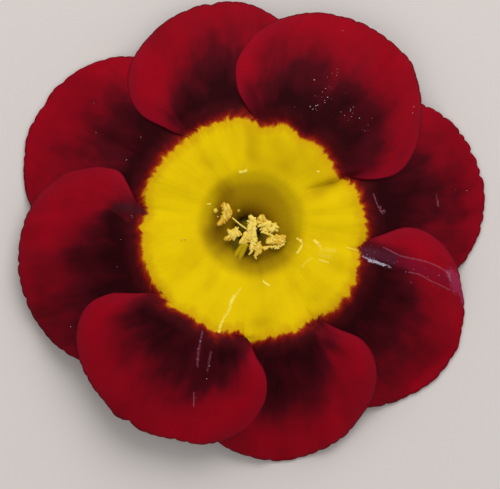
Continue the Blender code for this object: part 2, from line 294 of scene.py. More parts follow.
class Gathered:
    """Shapes gathered into one mesh, each with its own values for the materials."""

    def __init__(self) -> None:
        """Start with nothing in it."""
        self.points: list[Array] = []
        self.faces: list[Array] = []
        self.marks: dict[str, list[Array]] = {}

    def add(self, points: Array, faces: list[Array], **marks: Array | float) -> None:
        """Add a shape.

        Args:
            points: its vertices.
            faces: its face arrays, numbered from its own first vertex.
            marks: values by name, one for all its vertices or one a vertex.
        """
        start = sum(len(shape) for shape in self.points)
        self.points.append(points)
        self.faces.extend(group + start for group in faces)
        for label, values in marks.items():
            self.marks.setdefault(label, []).append(np.broadcast_to(values, len(points)))

    def face_count(self) -> int:
        """How many faces it has so far."""
        return sum(len(group) for group in self.faces)

    def piece(self, name: str, materials: list[Material]) -> Object:
        """One object of all the shapes, with that name and those materials."""
        marks = {label: np.concatenate(values) for label, values in self.marks.items()}
        return add_piece(name, np.concatenate(self.points), self.faces, materials, marks)


def crumpled_ball(radii: Place, lump: float, depth: float, rows: int,
                  rng: np.random.Generator) -> tuple[Array, list[Array], Array]:
    """An oval whose skin is heaped into lumps.

    A point of the oval is pushed out by depth x (1 - d^2), d being its distance from the
    nearest seeded lump centre over the lump's size, at most 1.

    Args:
        radii: half-widths along its three axes.
        lump: size of a lump.
        depth: how far a lump stands out.
        rows: vertex rows from pole to pole, with twice as many vertices round it.
        rng: the seeded source of the lumps' places.

    Returns:
        The vertices, the face arrays, and 0 to 1 a vertex: how high on a lump it is.
    """
    size = np.array(radii)
    latitude = np.linspace(-0.5 * math.pi, 0.5 * math.pi, rows + 2)[1:-1]
    longitude = np.linspace(0.0, FULL_TURN, 2 * rows, endpoint=False)
    v, u = np.meshgrid(latitude, longitude, indexing="ij")
    unit = vertices(np.cos(v) * np.cos(u), np.cos(v) * np.sin(u), np.sin(v))
    unit = np.concatenate((unit, ((0.0, 0.0, -1.0), (0.0, 0.0, 1.0))))
    area = 2.0 * FULL_TURN * float(np.mean(size)) ** 2
    seeds = rng.normal(size=(max(8, int(1.3 * area / lump ** 2)), 3))
    seeds *= size / np.linalg.norm(seeds, axis=1, keepdims=True)
    away = np.linalg.norm((unit * size)[:, None] - seeds[None], axis=2).min(axis=1)
    crest = 1.0 - np.clip(away / lump, 0.0, 1.0) ** 2
    points = unit * size + unit * (depth * crest)[:, None]
    return points, capped_faces(rows, 2 * rows, turned_over=True), crest


# Finishes

class Nodes:
    """A node tree and the short calls that fill it."""

    def __init__(self, tree: bpy.types.NodeTree) -> None:
        """Take the tree, and empty it."""
        self.tree = tree
        tree.nodes.clear()

    def feed(self, socket: Socket, value: object) -> None:
        """Link a socket to what feeds it, or set it.

        Args:
            socket: the socket.
            value: another socket or a constant, a colour without its alpha.
        """
        if isinstance(value, Socket):
            self.tree.links.new(value, socket)
        else:
            socket.default_value = (*value, 1.0) if socket.type == "RGBA" else value

    def add(self, kind: str, inputs: dict[str | int, object] | None = None,
            **settings: object) -> bpy.types.Node:
        """Add a node.

        Args:
            kind: its type without the word ShaderNode.
            inputs: sockets by name or number, each a constant or the socket that feeds it.
            settings: properties of the node itself.

        Returns:
            The node.
        """
        node = self.tree.nodes.new("ShaderNode" + kind)
        for key, value in settings.items():
            setattr(node, key, value)
        for key, value in (inputs or {}).items():
            self.feed(node.inputs[key], value)
        return node

    def value(self, operation: str, *inputs: object, clamp: bool = False) -> Socket:
        """A Math node's result, by its operation and its inputs in order."""
        node = self.add("Math", dict(enumerate(inputs)), operation=operation, use_clamp=clamp)
        return node.outputs[0]

    def times(self, first: object, second: object) -> Socket:
        """One value times another."""
        return self.value("MULTIPLY", first, second)

    def minus(self, first: object, second: object) -> Socket:
        """One value less another."""
        return self.value("SUBTRACT", first, second)

    def pushed(self, value: object, push: object, share: object) -> Socket:
        """A value plus a share of another."""
        return self.value("MULTIPLY_ADD", push, share, value)

    def scaled(self, vector: object, scale: object) -> Socket:
        """A vector times one number along each of its axes."""
        return self.add("VectorMath", {0: vector, 1: scale}, operation="MULTIPLY").outputs[0]

    def part(self, vector: object, axis: str) -> Socket:
        """A vector's X, Y or Z."""
        return self.add("SeparateXYZ", {0: vector}).outputs[axis]

    def noise(self, vector: object, scale: object, detail: float = 2.0, rough: object = 0.5) -> Socket:
        """Soft noise from 0 to 1 at the vector, by its scale, octaves and roughness."""
        inputs = {"Vector": vector, "Scale": scale, "Detail": detail, "Roughness": rough}
        return self.add("TexNoise", inputs).outputs["Fac"]

    def step(self, value: object, low: float, high: float) -> Socket:
        """Ease from 0 to 1 while a value goes from low to high, also where low is the higher."""
        inputs = {"Value": value, "From Min": low, "From Max": high}
        return self.add("MapRange", inputs, interpolation_type="SMOOTHSTEP").outputs["Result"]

    def blend(self, share: object, first: object, second: object, how: str = "MIX") -> Socket:
        """The first colour where share is 0, the second, or its product with the first, at 1."""
        inputs = {0: share, 6: first, 7: second}
        return self.add("Mix", inputs, data_type="RGBA", blend_type=how).outputs[2]

    def turn(self, colour: object, other: object, value: object, low: float,
             high: float) -> Socket:
        """A colour that turns into another while a value goes from low to high."""
        return self.blend(self.step(value, low, high), colour, other)

    def ramp(self, value: object, stops: list[tuple[float, Colour]]) -> Socket:
        """A colour ramp over a value.

        Args:
            value: the value, from 0 to 1.
            stops: places along it and their colours.

        Returns:
            The colour.
        """
        node = self.add("ValToRGB", {"Fac": value})
        elements = node.color_ramp.elements
        while len(elements) < len(stops):
            elements.new(0.5)
        for element, (place, colour) in zip(elements, stops):
            element.position = place
            element.color = (*colour, 1.0)
        return node.outputs["Color"]

    def mark(self, label: str, kind: str = "Fac") -> Socket:
        """The mesh's own values under that name."""
        return self.add("Attribute", attribute_name=label).outputs[kind]

    def bumps(self, *layers: tuple[object, float, float]) -> Socket:
        """A normal bent by heights, one after the other.

        Args:
            layers: each a height, the distance in metres that 1 stands for, and its strength.

        Returns:
            The normal.
        """
        bent = {}
        for height, distance, strength in layers:
            node = self.add("Bump", bent | {"Height": height, "Distance": distance,
                                            "Strength": strength})
            bent = {"Normal": node.outputs["Normal"]}
        return bent["Normal"]

    def place(self) -> Socket:
        """Object coordinates in millimetres from the bloom's middle."""
        inputs = {0: self.scaled(self.add("TexCoord").outputs["Object"], (1.0 / MM,) * 3), 1: MIDDLE}
        return self.add("VectorMath", inputs, operation="SUBTRACT").outputs[0]


class Group:
    """A shader node group, built once and placed in each material that uses it."""

    name: str
    inputs: dict[str, float | None]  # first value of each socket, and none for a vector
    output: str
    made: dict[str, bpy.types.NodeTree] = {}

    def tree(self) -> bpy.types.NodeTree:
        """The group's tree, filled the first time that it is asked for.

        Returns:
            The tree.
        """
        if self.name not in self.made:
            tree = bpy.data.node_groups.new(self.name, "ShaderNodeTree")
            for label, first in self.inputs.items():
                kind = "NodeSocketVector" if first is None else "NodeSocketFloat"
                socket = tree.interface.new_socket(label, in_out="INPUT", socket_type=kind)
                if first is not None:
                    socket.default_value = first
            tree.interface.new_socket(self.output, in_out="OUTPUT", socket_type="NodeSocketFloat")
            nodes = Nodes(tree)
            entry, leave = (tree.nodes.new("NodeGroup" + end) for end in ("Input", "Output"))
            tree.links.new(self.fill(nodes, entry.outputs), leave.inputs[self.output])
            self.made[self.name] = tree
        return self.made[self.name]

    def fill(self, nodes: Nodes, given: bpy.types.NodeInputs) -> Socket:
        """Fill the tree from what its inputs give, and return the socket of its result."""
        raise NotImplementedError

    def use(self, nodes: Nodes, **inputs: object) -> Socket:
        """Place the group among a material's nodes, its sockets by name, for its result."""
        return nodes.add("Group", inputs, node_tree=self.tree()).outputs[self.output]


class Streaks(Group):
    """Noise drawn out along the rays of the corolla, from -1 to 1."""

    name = "streaks"
    inputs = {"Ray": None, "Across": 1.0, "Along": 0.2, "Roughness": 0.55}
    output = "Value"

    def fill(self, nodes: Nodes, given: bpy.types.NodeInputs) -> Socket:
        """Scale the ray's first two parts by Across and its third by Along, and take noise."""
        scale = nodes.add("CombineXYZ", {0: given["Across"], 1: given["Across"], 2: given["Along"]})
        return nodes.pushed(-1.0, nodes.noise(nodes.scaled(given["Ray"], scale.outputs[0]), 1.0, 3.0,
                                              given["Roughness"]), 2.0)


class Stroke(Group):
    """A frayed stroke: 1 along its line, 0 away from it. A scar field says where the line is."""

    name = "stroke"
    inputs = {"Place": None, "Field": None, "Fray": 1.0, "Soft": 0.25}
    output = "Mask"

    def fill(self, nodes: Nodes, given: bpy.types.NodeInputs) -> Socket:
        """One less the distance over the stroke's half-width, pushed up and down by noise.

        Args:
            nodes: the group's nodes.
            given: its inputs.

        Returns:
            The mask.
        """
        place = nodes.add("SeparateXYZ", {0: given["Field"]}).outputs
        away = nodes.value("MAXIMUM", nodes.value("ABSOLUTE", place["X"]), place["Y"])
        near = nodes.minus(1.0, away)
        flat = nodes.scaled(given["Place"], (1.0, 1.0, 0.0))
        frayed = nodes.minus(nodes.noise(flat, 4.5, 3.0, 0.65), 0.48)
        shaped = nodes.pushed(near, frayed, nodes.times(given["Fray"], 3.0))
        inner = nodes.value("DIVIDE", near, given["Soft"], clamp=True)
        return nodes.times(nodes.step(shaped, 0.10, 0.65), nodes.times(inner, place["Z"]))


class Meal(Group):
    """Fine white meal that lies in drifts: 1 on a grain, 0 between."""

    name = "meal"
    inputs = {"Place": None, "Amount": 0.5, "Size": 8.0}
    output = "Mask"

    def fill(self, nodes: Nodes, given: bpy.types.NodeInputs) -> Socket:
        """Grains where a fine noise beats a threshold that soft drifts raise and lower.

        Args:
            nodes: the group's nodes.
            given: its inputs.

        Returns:
            The mask.
        """
        drift = nodes.minus(nodes.noise(given["Place"], 1.1), 0.5)
        fine = nodes.noise(given["Place"], given["Size"])
        level = nodes.minus(nodes.pushed(fine, drift, 0.5), nodes.minus(1.0, given["Amount"]))
        return nodes.step(level, 0.0, 0.12)


STREAKS = Streaks()
STROKE = Stroke()
MEAL = Meal()


class Finish:
    """A material that ends in one Principled shader."""

    name: str

    def inputs(self, nodes: Nodes) -> dict[str, object]:
        """What the shader is given, from nodes that this adds; each finish has its own."""
        raise NotImplementedError

    def build(self) -> Material:
        """Make the material.

        Returns:
            The material.
        """
        material = bpy.data.materials.new(self.name)
        material.use_nodes = True
        nodes = Nodes(material.node_tree)
        shader = nodes.add("BsdfPrincipled", self.inputs(nodes))
        nodes.add("OutputMaterial", {"Surface": shader.outputs["BSDF"]})
        return material


@dataclass(frozen=True)
class PetalFace(Finish):
    """The upper skin of the corolla: a yellow eye that darkens to olive in the throat, a
    feathered orange-red fringe, a maroon zone and crimson margins, with a velvet sheen."""

    name = "crimson_lobe_and_yellow_eye"
    yellow: Colour = (0.755, 0.532, 0.0008)
    dull_yellow: Colour = (0.62, 0.405, 0.0008)
    dim: Colour = (0.50, 0.42, 0.8)  # what a shaded patch keeps of the yellow
    amber: Colour = (0.51, 0.345, 0.0010)
    brown: Colour = (0.385, 0.240, 0.0015)
    olive: Colour = (0.41, 0.245, 0.0025)
    # painted shade round the throat's narrow hole
    deep_olive_shade: Colour = (0.200, 0.150, 0.010)
    gold: Colour = (0.60, 0.35, 0.002)
    orange: Colour = (0.40, 0.09, 0.003)
    bright_fringe: Colour = (0.25, 0.018, 0.004)
    fringe_red: Colour = (0.165, 0.0045, 0.0040)
    ember: Colour = (0.050, 0.0026, 0.0044)
    maroon: Colour = (0.0215, 0.0010, 0.0025)
    wine: Colour = (0.064, 0.0019, 0.0058)
    crimson: Colour = (0.205, 0.0018, 0.0084)
    bright_crimson: Colour = (0.300, 0.0014, 0.0095)
    patchy: Colour = (0.62, 0.5, 0.5)  # what a dull patch keeps of the lobes' colour
    # the rosy pink of the rolled margins is a painted sheen
    sheen_rose: Colour = (0.235, 0.0035, 0.0150)
    edge_line: Colour = (0.075, 0.002, 0.008)
    sheen: float = 0.02
    sheen_tint: Colour = (1.0, 0.4, 0.5)

    def body(self, nodes: Nodes, streaks: partial, place: Socket) -> Socket:
        """The lobes' colour, from maroon near the eye through wine to crimson. Streaks push
        the mark "shade", which is 1 where the dark zone ends, in and out.

        Args:
            nodes: the material's nodes.
            streaks: places streaks along the corolla's rays.
            place: place in millimetres.

        Returns:
            The colour.
        """
        wide = streaks(Across=0.80, Along=0.16, Roughness=0.5)
        fine = streaks(Across=2.6, Along=0.28, Roughness=0.6)
        shade = nodes.pushed(nodes.pushed(nodes.mark("shade"), wide, 0.62), fine, 0.30)
        cloud = nodes.pushed(-0.25, nodes.noise(place, 0.50), 0.5)
        shade = nodes.value("DIVIDE", nodes.value("ADD", shade, cloud), 2.0)
        tone = nodes.ramp(shade, [(0.24, self.maroon), (0.46, self.wine), (0.72, self.crimson),
                                  (1.0, self.bright_crimson)])
        patch = nodes.step(nodes.noise(place, 0.22, 3.0, 0.55), 0.38, 0.66)
        return nodes.blend(nodes.times(patch, 0.22), tone, self.patchy, "MULTIPLY")

    def eye(self, nodes: Nodes, streaks: partial, place: Socket) -> Socket:
        """The eye's yellow with faint rays, going over olive to nearly black down the tube: the tube's
        own amber and olive with painted shade, darkest round the narrow hole, and painted shade
        where the mark "shade" is negative.

        Args:
            nodes: the material's nodes.
            streaks: places streaks along the corolla's rays.
            place: place in millimetres.

        Returns:
            The colour.
        """
        rays = streaks(Across=0.8, Along=0.20, Roughness=0.45)
        dull = nodes.step(nodes.pushed(nodes.noise(place, 0.45, 3.0), rays, 0.30), 0.30, 0.95)
        skin = nodes.blend(nodes.times(dull, 0.8), self.yellow, self.dull_yellow)
        cloud = nodes.minus(nodes.noise(place, 1.1), 0.5)
        depth = nodes.pushed(nodes.mark("throat"), cloud, 0.35)
        # the tube's own amber, brown and olive deepen down the throat, and painted shade darkens them
        for value, high, low, deeper in ((depth, 4.4, 3.5, self.amber),
                                         (depth, 3.5, 2.8, self.brown),
                                         (depth, 2.7, 2.1, self.olive),
                                         (nodes.mark("hole"), 1.75, 1.05, self.deep_olive_shade)):
            skin = nodes.turn(skin, deeper, value, high, low)
        shade = nodes.pushed(nodes.mark("shade"), rays, 0.10)
        return nodes.blend(nodes.step(shade, -0.03, -0.75), skin, self.dim, "MULTIPLY")

    def inputs(self, nodes: Nodes) -> dict[str, object]:
        """Join the parts of the skin at the feathered edge of the eye, and lay the painted sheen of
        the rolled margins, the rim's line, the bruises and the scars over them.

        Args:
            nodes: the material's nodes.

        Returns:
            The shader's inputs.
        """
        streaks = partial(STREAKS.use, nodes, Ray=nodes.mark("ray", "Vector"))
        place = nodes.place()
        outward = nodes.mark("outward")
        edge = nodes.pushed(outward, streaks(Across=2.4, Along=1.3, Roughness=0.55), 0.40)
        edge = nodes.pushed(edge, streaks(Across=0.9, Along=0.0, Roughness=0.5), 0.35)
        fringe = nodes.pushed(edge, streaks(Across=2.0, Along=0.8, Roughness=0.6), 0.35)
        near_edge = nodes.times(nodes.step(edge, -0.95, -0.13), 0.9)
        colour = nodes.blend(near_edge, self.eye(nodes, streaks, place), self.gold)
        for low, high, further in ((-0.14, 0.07, self.orange), (0.01, 0.16, self.bright_fringe),
                                   (0.10, 0.42, self.fringe_red)):
            colour = nodes.turn(colour, further, edge, low, high)
        body = nodes.turn(self.ember, self.body(nodes, streaks, place), fringe, 0.53, 1.73)
        colour = nodes.turn(colour, body, fringe, 0.06, 0.80)
        # the rolled margins are painted rosier: a painted sheen where they curve down
        colour = nodes.blend(nodes.times(nodes.mark("rolled"), 0.75), colour, self.sheen_rose)
        rim = nodes.pushed(nodes.mark("rim"), nodes.noise(place, 5.0), 0.10)
        line = nodes.times(nodes.step(rim, 0.19, 0.08), nodes.step(outward, 1.0, 2.0))
        colour = nodes.blend(nodes.times(line, 0.50), colour, self.edge_line)
        strokes = []
        for label, fray, soft in (("bruise", 0.5, 0.7), ("scar", 1.1, 0.6)):
            strokes.append(STROKE.use(nodes, Place=place, Fray=fray, Soft=soft,
                                      Field=nodes.mark(label + "_field", "Vector")))
            colour = nodes.blend(strokes[-1], colour, nodes.mark(label + "_colour", "Color"))
        bruise, scar = strokes
        gloss = nodes.value("MAXIMUM", nodes.times(bruise, 0.6), scar)
        ribs = streaks(Across=2.4, Along=0.10, Roughness=0.5)
        normal = nodes.bumps((nodes.noise(place, 9.0, 1.0), 0.00003, 0.35),
                             (ribs, 0.00004, 0.35), (gloss, 0.00006, 0.6))
        return {"Base Color": colour, "Roughness": nodes.pushed(0.68, gloss, -0.35),
                "Normal": normal, "Specular IOR Level": 0.03, "Sheen Weight": self.sheen,
                "Sheen Roughness": 0.35, "Sheen Tint": self.sheen_tint}


@dataclass(frozen=True)
class PetalReverse(Finish):
    """The under skin of the corolla: duller and paler, greenish by the tube, with veins."""

    name = "corolla_reverse"
    tube: Colour = (0.42, 0.40, 0.09)
    eye: Colour = (0.50, 0.36, 0.05)
    dusky: Colour = (0.115, 0.012, 0.020)
    crimson: Colour = (0.21, 0.012, 0.028)
    vein: Colour = (0.07, 0.005, 0.012)
    sheen_tint: Colour = (0.9, 0.6, 0.65)

    def inputs(self, nodes: Nodes) -> dict[str, object]:
        """Colours by distance from the tube and from the eye's edge, and veins by the rays.

        Args:
            nodes: the material's nodes.

        Returns:
            The shader's inputs.
        """
        streaks = partial(STREAKS.use, nodes, Ray=nodes.mark("ray", "Vector"))
        outward = nodes.mark("outward")
        edge = nodes.pushed(outward, streaks(Across=2.6, Along=0.2, Roughness=0.6), 1.3)
        skin = nodes.turn(self.tube, self.eye, nodes.mark("throat"), 2.6, 4.4)
        lobe = nodes.turn(self.dusky, self.crimson, edge, 2.5, 7.0)
        colour = nodes.turn(skin, lobe, edge, -0.4, 1.6)
        veins = streaks(Across=1.7, Along=0.04, Roughness=0.45)
        line = nodes.step(nodes.value("ABSOLUTE", veins), 0.07, 0.0)
        line = nodes.times(line, nodes.step(outward, -1.0, 1.5))
        colour = nodes.blend(nodes.times(line, 0.5), colour, self.vein)
        normal = nodes.bumps((nodes.noise(nodes.place(), 7.0), 0.00004, 0.4),
                             (line, 0.00008, 0.5))
        return {"Base Color": colour, "Roughness": 0.6, "Normal": normal,
                "Specular IOR Level": 0.3, "Sheen Weight": 0.15, "Sheen Roughness": 0.4,
                "Sheen Tint": self.sheen_tint}


@dataclass(frozen=True)
class Pollen(Finish):
    """Opened anthers crusted with pollen: pale crests over orange-brown hollows. The pale of the
    crests is a painted highlight and the hollows' brown painted shade, over the anthers' own
    pale and orange. The mark "crest" is high on top of a lump and low between lumps, and the
    mark "tint" is 1 on the orange anthers."""

    name = "gold_anther"
    # the pale is a painted highlight on the lumps' tops, and the hollow colour painted shade between
    # them
    pale: Colour = (0.84, 0.65, 0.13)
    crest: Colour = (0.68, 0.45, 0.030)
    orange: Colour = (0.60, 0.31, 0.012)
    shaded_hollow: Colour = (0.30, 0.15, 0.005)

    def inputs(self, nodes: Nodes) -> dict[str, object]:
        """Colour by the two marks.

        Args:
            nodes: the material's nodes.

        Returns:
            The shader's inputs.
        """
        place = nodes.place()
        tint = nodes.mark("tint")
        height = nodes.pushed(nodes.mark("crest"), nodes.noise(place, 6.0), 0.5)
        body = nodes.turn(self.crest, self.orange, tint, 0.1, 0.9)
        colour = nodes.turn(self.shaded_hollow, body, height, -0.1, 0.55)
        pale = nodes.minus(height, nodes.times(tint, 0.45))
        return {"Base Color": nodes.turn(colour, self.pale, pale, 0.50, 1.0), "Roughness": 0.7,
                "Normal": nodes.bumps((nodes.noise(place, 14.0), 0.00004, 0.6)),
                "Specular IOR Level": 0.05}


@dataclass(frozen=True)
class Filament(Finish):
    """Soft olive-gold stalks of the anthers, darker down in the tube, where the darker gold is painted
    shade.
    """

    name = "filament"
    gold: Colour = (0.50, 0.345, 0.006)
    # the darker gold at the foot is painted shade in the tube
    tube_shade: Colour = (0.44, 0.295, 0.003)
    top: float = 5.6
    foot: float = 4.7

    def inputs(self, nodes: Nodes) -> dict[str, object]:
        """Two colours by height, with soft clouds.

        Args:
            nodes: the material's nodes.

        Returns:
            The shader's inputs.
        """
        place = nodes.place()
        rise = nodes.pushed(nodes.part(place, "Z"), nodes.noise(place, 2.0), 0.5)
        return {"Base Color": nodes.turn(self.tube_shade, self.gold, rise, self.foot, self.top),
                "Roughness": 0.7, "Specular IOR Level": 0.03}


@dataclass(frozen=True)
class FreshGreen(Finish):
    """A soft green skin under white meal, with a moist cut or a darker core where it has one."""

    name: str
    skin: Colour
    shade: Colour
    meal: Colour = (0.78, 0.80, 0.66)
    amount: float = 0.46
    cut: Colour | None = None  # where the mark "cut" is 1
    core: Colour | None = None  # inside this radius round the tube and above this height
    core_radius: float = 2.3
    core_height: float = 1.5
    gloss: float = 0.35

    def inputs(self, nodes: Nodes) -> dict[str, object]:
        """Two greens in clouds, and meal in drifts over them.

        Args:
            nodes: the material's nodes.

        Returns:
            The shader's inputs.
        """
        place = nodes.place()
        cloud = nodes.noise(nodes.scaled(place, (1.0, 1.0, 0.4)), 1.6, 3.0)
        colour = nodes.turn(self.shade, self.skin, cloud, 0.3, 0.7)
        grains = MEAL.use(nodes, Place=place, Amount=self.amount, Size=9.0)
        if self.cut:
            cut = nodes.mark("cut")
            grains = nodes.times(grains, nodes.minus(1.0, cut))
            colour = nodes.blend(cut, colour, self.cut)
        colour = nodes.blend(grains, colour, self.meal)
        if self.core:
            away = nodes.add("VectorMath", {0: nodes.scaled(place, (1.0, 1.0, 0.0)),
                                            1: (TUBE_X, TUBE_Y, 0.0)}, operation="DISTANCE")
            inner = nodes.step(away.outputs["Value"], self.core_radius + 0.15, self.core_radius)
            upper = nodes.step(nodes.part(place, "Z"), self.core_height, self.core_height + 0.12)
            colour = nodes.blend(nodes.times(inner, upper), colour, self.core)
        normal = nodes.bumps((nodes.noise(place, 8.0), 0.00004, 0.5), (grains, 0.00003, 0.6))
        return {"Base Color": colour, "Roughness": nodes.pushed(0.5, grains, 0.25),
                "Normal": normal, "Specular IOR Level": self.gloss}


@dataclass(frozen=True)
class Grain(Finish):
    """Loose grains of meal or pollen, each a little different."""

    name: str
    first: Colour
    second: Colour

    def inputs(self, nodes: Nodes) -> dict[str, object]:
        """Two colours in fine noise."""
        tint = nodes.step(nodes.noise(nodes.place(), 4.0, 1.0), 0.35, 0.65)
        return {"Base Color": nodes.blend(tint, self.first, self.second),
                "Roughness": nodes.pushed(0.4, tint, 0.2), "Specular IOR Level": 0.4}


@dataclass(frozen=True)
class PaleFloor(Finish):
    """A plain pale floor, nearly matt."""

    name = "pale_floor"
    colour: Colour = (0.64, 0.60, 0.585)

    def inputs(self, nodes: Nodes) -> dict[str, object]:
        """One colour, with no nodes behind it."""
        return {"Base Color": self.colour, "Roughness": 0.9, "Specular IOR Level": 0.1}


# Marks on the corolla

@dataclass(frozen=True)
class Scar:
    """A mark on the corolla as the photograph shows it: the pixels that its line runs through,
    half its width, its colour and how strong it is."""

    line: tuple[Point, ...]
    width: float
    colour: Colour
    share: float = 1.0

    def field(self, x: Array, y: Array, slack: float) -> Array:
        """Where places lie against the line, in half-widths.

        Args:
            x: places across.
            y: places up.
            slack: taken off the plain distance, so that a line thinner than the mesh's
                spacing isn't lost between two points.

        Returns:
            Three numbers a place: distance to the left of the nearest stretch, plain distance
            from it less the slack, and the mark's strength.
        """
        best, aside = np.full(x.shape, np.inf), np.zeros(x.shape)
        knots = [PHOTO.place(pixel) for pixel in self.line]
        for start, end in zip(knots[:-1], knots[1:]):
            along, left, length = beside(start, end, x, y)
            away = np.hypot(left, along - np.clip(along, 0.0, length))
            aside = np.where(away < best, left, aside)
            best = np.minimum(away, best)
        strength = np.full(x.shape, self.share)
        return np.stack((aside / self.width, (best - slack) / self.width, strength), axis=-1)


def scar_marks(label: str, scars: tuple[Scar, ...], x: Array, y: Array,
               slack: float) -> dict[str, Array]:
    """The nearest scar's field and colour at each place.

    Args:
        label: first part of the two attributes' names.
        scars: the scars of one layer.
        x: places across.
        y: places up.
        slack: the mesh's spacing there.

    Returns:
        Attributes for the material, three numbers a place each.
    """
    fields = np.array([scar.field(x, y, slack) for scar in scars])
    nearest = fields[..., 1].argmin(axis=0)
    return {label + "_field": fields[nearest, np.arange(len(x))],
            label + "_colour": np.array([scar.colour for scar in scars])[nearest]}


def scars(colour: Colour, *lines: tuple) -> tuple[Scar, ...]:
    """Scars of one colour, from half-width, strength and the pixels of each."""
    return tuple(Scar(tuple(line), width, colour, share) for width, share, *line in lines)


# the eye's scratches are painted paler: partly the scratched skin, partly a painted highlight along them
PALE_YELLOW = (0.88, 0.71, 0.09)
# painted highlight: the glints along the scar on the lower right lobe
SILVER_GLINT = (0.42, 0.37, 0.46)
PURPLE = (0.07, 0.009, 0.022)
DUSK = (0.034, 0.005, 0.01)
MAUVE = (0.185, 0.005, 0.028)
PINK = (0.32, 0.03, 0.095)
DUSTY = (0.3, 0.09, 0.14)

BRUISES = (
    scars(PURPLE, (0.74, 0.9, (366, 252), (378, 255), (394, 260)))
    + scars(MAUVE, (0.72, 0.45, (394, 260), (420, 268), (436, 275), (446, 279)))
    + scars(PINK, (0.8, 0.6, (450, 276), (457, 286)), (0.26, 0.6, (461, 286), (463, 302)))
    + scars(PALE_YELLOW, (0.34, 0.12, (321, 255), (328, 257)), (0.26, 0.22, (327, 250), (333, 251)))
    + scars(DUSK, (0.55, 0.6, (118, 208), (132, 208), (143, 212)))
)
EYE_SCARS = (
    scars(PALE_YELLOW, (0.11, 0.35, (240, 289), (236, 294)),
          (0.22, 0.95, (234.5, 297), (231.5, 300), (230.5, 304)),
          (0.17, 0.6, (230.5, 304), (229, 311)), (0.17, 0.5, (229, 311), (224, 318)),
          (0.17, 0.75, (224, 318), (220.5, 325), (219.5, 330)),
          (0.1, 0.9, (208, 204), (209, 204)), (0.1, 0.9, (317, 172), (318, 172)),
          (0.14, 0.9, (298.5, 239.5), (301, 241), (302, 244.5), (300.5, 248.5), (298, 252)),
          (0.17, 0.85, (315, 241.5), (318.5, 245)), (0.14, 0.3, (319.5, 247), (320.5, 249.5)),
          (0.13, 0.3, (303, 266), (306, 262), (311, 259)),
          (0.14, 0.55, (320.5, 260.5), (326.5, 262)), (0.13, 0.9, (264, 282), (268, 285)),
          (0.17, 1.0, (241, 172), (244, 171.5), (245, 171)), (0.08, 0.5, (347, 248), (357, 251)))
)
LOBE_SCARS = (
    scars(SILVER_GLINT, (0.1, 0.6, (363, 257), (368, 259.5)),
          (0.18, 1.0, (369, 260.5), (373, 262), (376, 262.5)), (0.15, 0.9, (377, 263), (383, 265)),
          (0.07, 0.3, (386, 265), (389, 267)))
    + scars(DUSTY, (0.08, 0.42, (383, 248), (399, 256), (423, 261), (436, 266), (448, 273)),
          (0.08, 0.42, (408, 272), (418, 274), (428, 280), (444, 287), (449, 290)),
          (0.12, 0.8, (447, 272), (449, 279)), (0.12, 0.28, (202, 333), (199, 350), (198, 364)),
          (0.16, 0.6, (199.5, 347), (199, 351)), (0.13, 0.5, (198, 358), (197.5, 361)),
          (0.14, 0.22, (211, 352), (208, 368)), (0.06, 0.6, (194, 391), (194, 404)),
          (0.08, 0.5, (372, 195), (376, 206), (381, 214)), (0.09, 0.35, (376, 206), (383, 211)),
          (0.08, 0.25, (435, 195), (437, 206)))
)


# The corolla

class Side(Enum):
    """How a lobe's side margin lies against its neighbour's."""

    OVER = 1
    UNDER = -1


@dataclass(frozen=True)
class Fold:
    """A ridge, or a furrow where rise is negative, that runs along a lobe's rays. Its place
    across the lobe goes from -1 to 1, and its start and end from 0 at the eye to 1."""

    place: float
    width: float
    start: float
    end: float
    rise: float


@dataclass(frozen=True)
class Bump:
    """A rise of the tip's margin, or a notch where push is negative, at a place across the
    lobe from -1 to 1."""

    place: float
    width: float
    push: float


@dataclass(frozen=True)
class Lobe:
    """One lobe, seen from above. Left is its counter-clockwise side. Its outline is an oval
    round its widest place, and its direction, dark zone and folds are its own."""

    name: str
    direction: float
    widest: float
    reach: float
    left: float
    right: float
    heel: float
    droop: float
    left_side: Side
    right_side: Side
    join: float  # direction in which it parts from the next lobe on its left
    join_radius: float
    yellow: Place  # where yellow ends: at its right end, its middle and its left end
    dark_reach: float  # the maroon zone goes on to this distance from the eye's edge
    dark_place: float  # across the lobe, -1 to 1
    dark_half: float
    waist: Point = (0.0, 0.0)  # how far the left and right margins draw in
    waist_end: float = field(default=0.5, kw_only=True)  # and over what share of their length
    folds: tuple[Fold, ...] = ()
    bumps: tuple[Bump, ...] = ()
    tongues: tuple[Bump, ...] = ()  # of the yellow's edge: where it runs further out
    scallop: float = 1.0  # how deep the nicks of its tip are

    def lies_over(self, s: Array) -> Array:
        """Whether its margin on that side, left where s is over 0, is the upper one."""
        return np.where(s > 0, self.left_side.value, self.right_side.value) > 0


